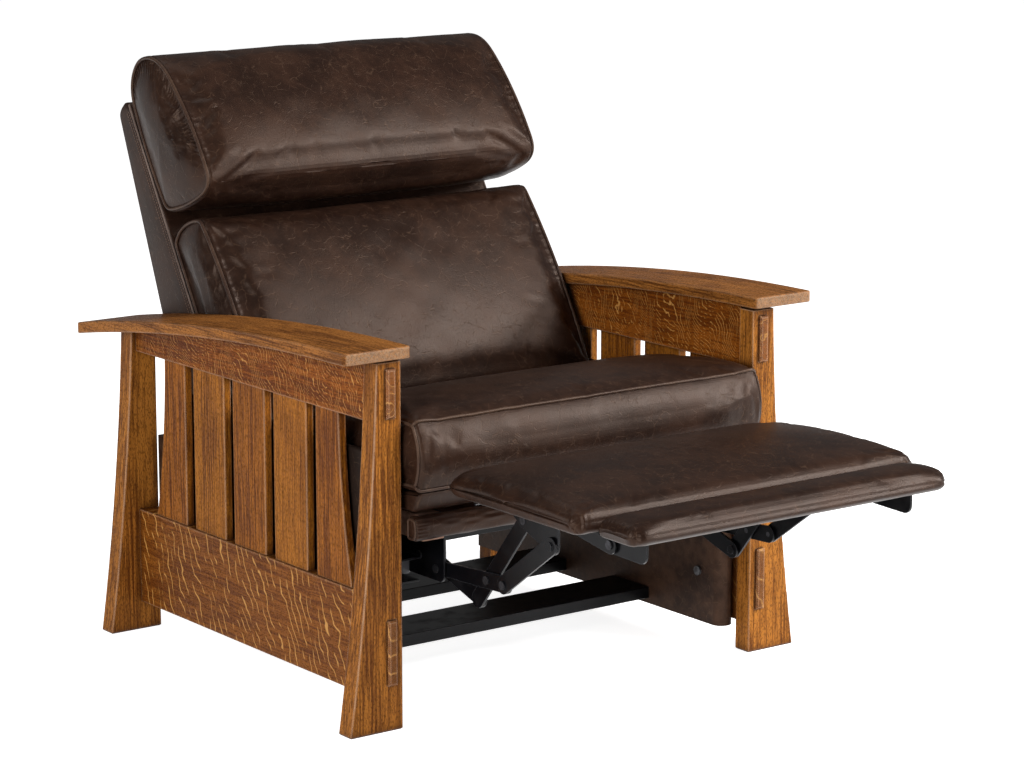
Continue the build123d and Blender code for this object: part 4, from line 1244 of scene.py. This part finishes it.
@dataclass
class Footrest:
    """The main footrest pad, the flip-out pad and their boards."""

    half_width: float = 338.0
    flip_half_width: float = 312.0
    pad_corners: Points = (
        (-415.5, 391.0), (-64.0, 391.0), (-64.0, 417.0), (-415.5, 425.0),
    )
    flip_corners: Points = (
        (-517.0, 390.0), (-427.5, 391.0), (-427.5, 417.0), (-517.0, 421.0),
    )
    tucks: Sequence[tuple] = (
        (330, -404, -1, 10, 1.8), (322, -408, -1, 22, 1.6), (334, -394, -1, -4, 1.5),
        (312, -412, -1, 34, 1.2), (330, -74, 1, 8, 1.2), (318, -70, 1, 20, 1.0),
    )

    def pad(self, shop: Workshop) -> None:
        """The main pad: a domed top that falls to a thin wrapped edge, tucked at the corners."""
        form = SoftForm(
            "footrest_pad", shop.front, self.half_width, self.pad_corners, (0, 7, 8, 7),
            (0, 7, 21, 7), rounding=7.5, end_round=14.0, puff=1.0, crown_power=3.4,
            shrink=0.5, stations=170, rings=10,
        )
        form.round_plan(20.0, 62.0)
        form.swell(cap=5.0, voxel=5.0)
        form.folds([
            fold
            for x, y, way, turn, depth in self.tucks
            for fold in (
                ((x, y, 424), (x + 6, y + way * 12, 396), 3.0, depth),
                ((x, y, 420), (x - 40, y - way * turn, 432), 6.0, depth * 0.6),
            )
        ])
        shop.upholster(form, "footrest")

    def flip(self, shop: Workshop) -> None:
        """The flip-out pad: a narrow roll with rounded, gathered ends."""
        form = SoftForm(
            "flip_pad", shop.front, self.flip_half_width, self.flip_corners, (0, 0, 5, 13),
            (0, 0, 7, 13), rounding=7.0, end_round=12.0, puff=2.0, crown_power=6.0,
            shrink=0.5, stations=170, rings=12, around=260,
        )
        form.round_plan(28.0, 14.0)
        form.swell(cap=4.0, voxel=5.0)
        form.pucker(1.2, 14.0, 30.0, 51, where=(0.45, 0.95))
        shop.upholster(form, "flip_rest")

    def dress(self, shop: Workshop) -> None:
        """Builds the pads and dresses the boards."""
        shop.dress(SEAT_WOOD, "footrest_board", "flip_board")
        self.pad(shop)
        self.flip(shop)


@dataclass
class Linkage:
    """The folding footrest linkage in black painted steel."""

    steel: Sequence[str] = (
        "lower_links", "short_links", "rear_lift_links", "front_lift_links",
        "footrest_brackets", "flip_brackets",
    )
    rivets: Sequence[str] = ("lower_rivets", "footrest_rivets")

    def dress(self, shop: Workshop) -> None:
        """Dresses the links and their rivets."""
        shop.dress(BLACK_PAINT, *self.steel)
        shop.dress(RIVET_STEEL, *self.rivets)


@dataclass
class Studio:
    """A white studio with a pale floor, soft lamps and the camera.

    Each lamp has its name, its place, its width and height, its power in watts and the
    point that it faces, with lengths in metres.
    """

    camera_place: Floats = (-3.190, -4.290, 1.582)
    camera_turn: Floats = (78.36, 0.0, -36.52)
    lens: float = 116.5
    sensor: float = 36.0
    sight: float = 160.0
    floor_half: float = 60.0
    floor_glow: float = 0.85
    daylight: float = 0.16
    lamps: Sequence[tuple] = (
        ("high_lamp", (2.35, -2.9, 3.4), (1.6, 1.6), 150.0, (0.0, 0.0, 0.75)),
        ("key_lamp", (3.35, -2.4, 2.15), (0.8, 0.8), 125.0, (0.0, 0.1, 0.6)),
        ("front_lamp", (1.9, -4.0, 1.3), (1.8, 1.0), 50.0, (0.0, 0.0, 0.5)),
        ("side_lamp", (-4.4, -1.8, 1.8), (2.4, 2.0), 185.0, (0.0, 0.0, 0.4)),
        ("top_lamp", (-0.6, 1.4, 4.2), (2.6, 2.6), 30.0, (0.0, 0.1, 0.0)),
    )

    @staticmethod
    def put(name: str, data: object, place: Floats, turn: Floats) -> object:
        """Puts a lamp or a camera in its place, turned by angles in radians."""
        thing = bpy.data.objects.new(name, data)
        thing.location = place
        thing.rotation_euler = turn
        bpy.context.scene.collection.objects.link(thing)
        return thing

    def light(self) -> None:
        """The soft lamps and an even grey all round."""
        for name, place, size, power, aim in self.lamps:
            data = bpy.data.lights.new(name, "AREA")
            data.shape = "RECTANGLE"
            data.size, data.size_y = size
            data.energy = power
            x, y, z = np.array(aim) - np.array(place)
            turn = (math.atan2(math.hypot(x, y), -z), 0.0, math.atan2(x, -y) + math.pi)
            self.put(name, data, place, turn)
        world = bpy.data.worlds.new("studio_world")
        bpy.context.scene.world = world
        world.use_nodes = True
        surround = world.node_tree.nodes["Background"]
        surround.inputs["Color"].default_value = (1, 1, 1, 1)
        surround.inputs["Strength"].default_value = self.daylight

    def floor(self) -> None:
        """The white floor, which keeps the chair's shadow."""
        bench = Bench("studio_floor")
        colour = bench.tint((0.86, 0.86, 0.86), (0.9, 0.9, 0.9), bench.noise(bench.place(), 3.0))
        matt = bench.level("ShaderNodeBsdfDiffuse", 0, {"Color": colour})
        seen, mirrored, through = (
            bench.level("ShaderNodeLightPath", f"Is {kind} Ray")
            for kind in ("Camera", "Glossy", "Transmission")
        )
        shown = (seen + mirrored + through) * self.floor_glow
        glow = bench.level("ShaderNodeEmission", 0, {"Strength": shown})
        material = bench.end_in(bench.level("ShaderNodeAddShader", 0, {0: matt, 1: glow}))
        square = np.array([(-1, -1, 0), (1, -1, 0), (1, 1, 0), (-1, 1, 0)]) * self.floor_half
        make_piece("studio_floor", [(square, [np.array([[0, 1, 2, 3]])])], material)

    def camera(self) -> None:
        """The camera at the photograph's place."""
        data = bpy.data.cameras.new("studio_camera")
        data.lens = self.lens
        data.sensor_width = self.sensor
        data.clip_end = self.sight
        turn = [math.radians(angle) for angle in self.camera_turn]
        bpy.context.scene.camera = self.put("studio_camera", data, self.camera_place, turn)

    def build(self) -> None:
        """Sets up the studio."""
        self.floor()
        self.light()
        self.camera()
        bpy.context.scene.view_settings.view_transform = "Standard"


def main() -> None:
    """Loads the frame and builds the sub-assemblies in order."""
    logging.basicConfig(level=logging.INFO, format="%(message)s")
    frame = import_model()
    shop = Workshop(frame["nodes"], float(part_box("front_leg_left")[0].y))
    for part in (SideFrames(), Linkage(), Seat(), Back(), Footrest()):
        LOG.info("%s", type(part).__name__)
        part.dress(shop)
    Studio().build()


if __name__ == "__main__":
    main()
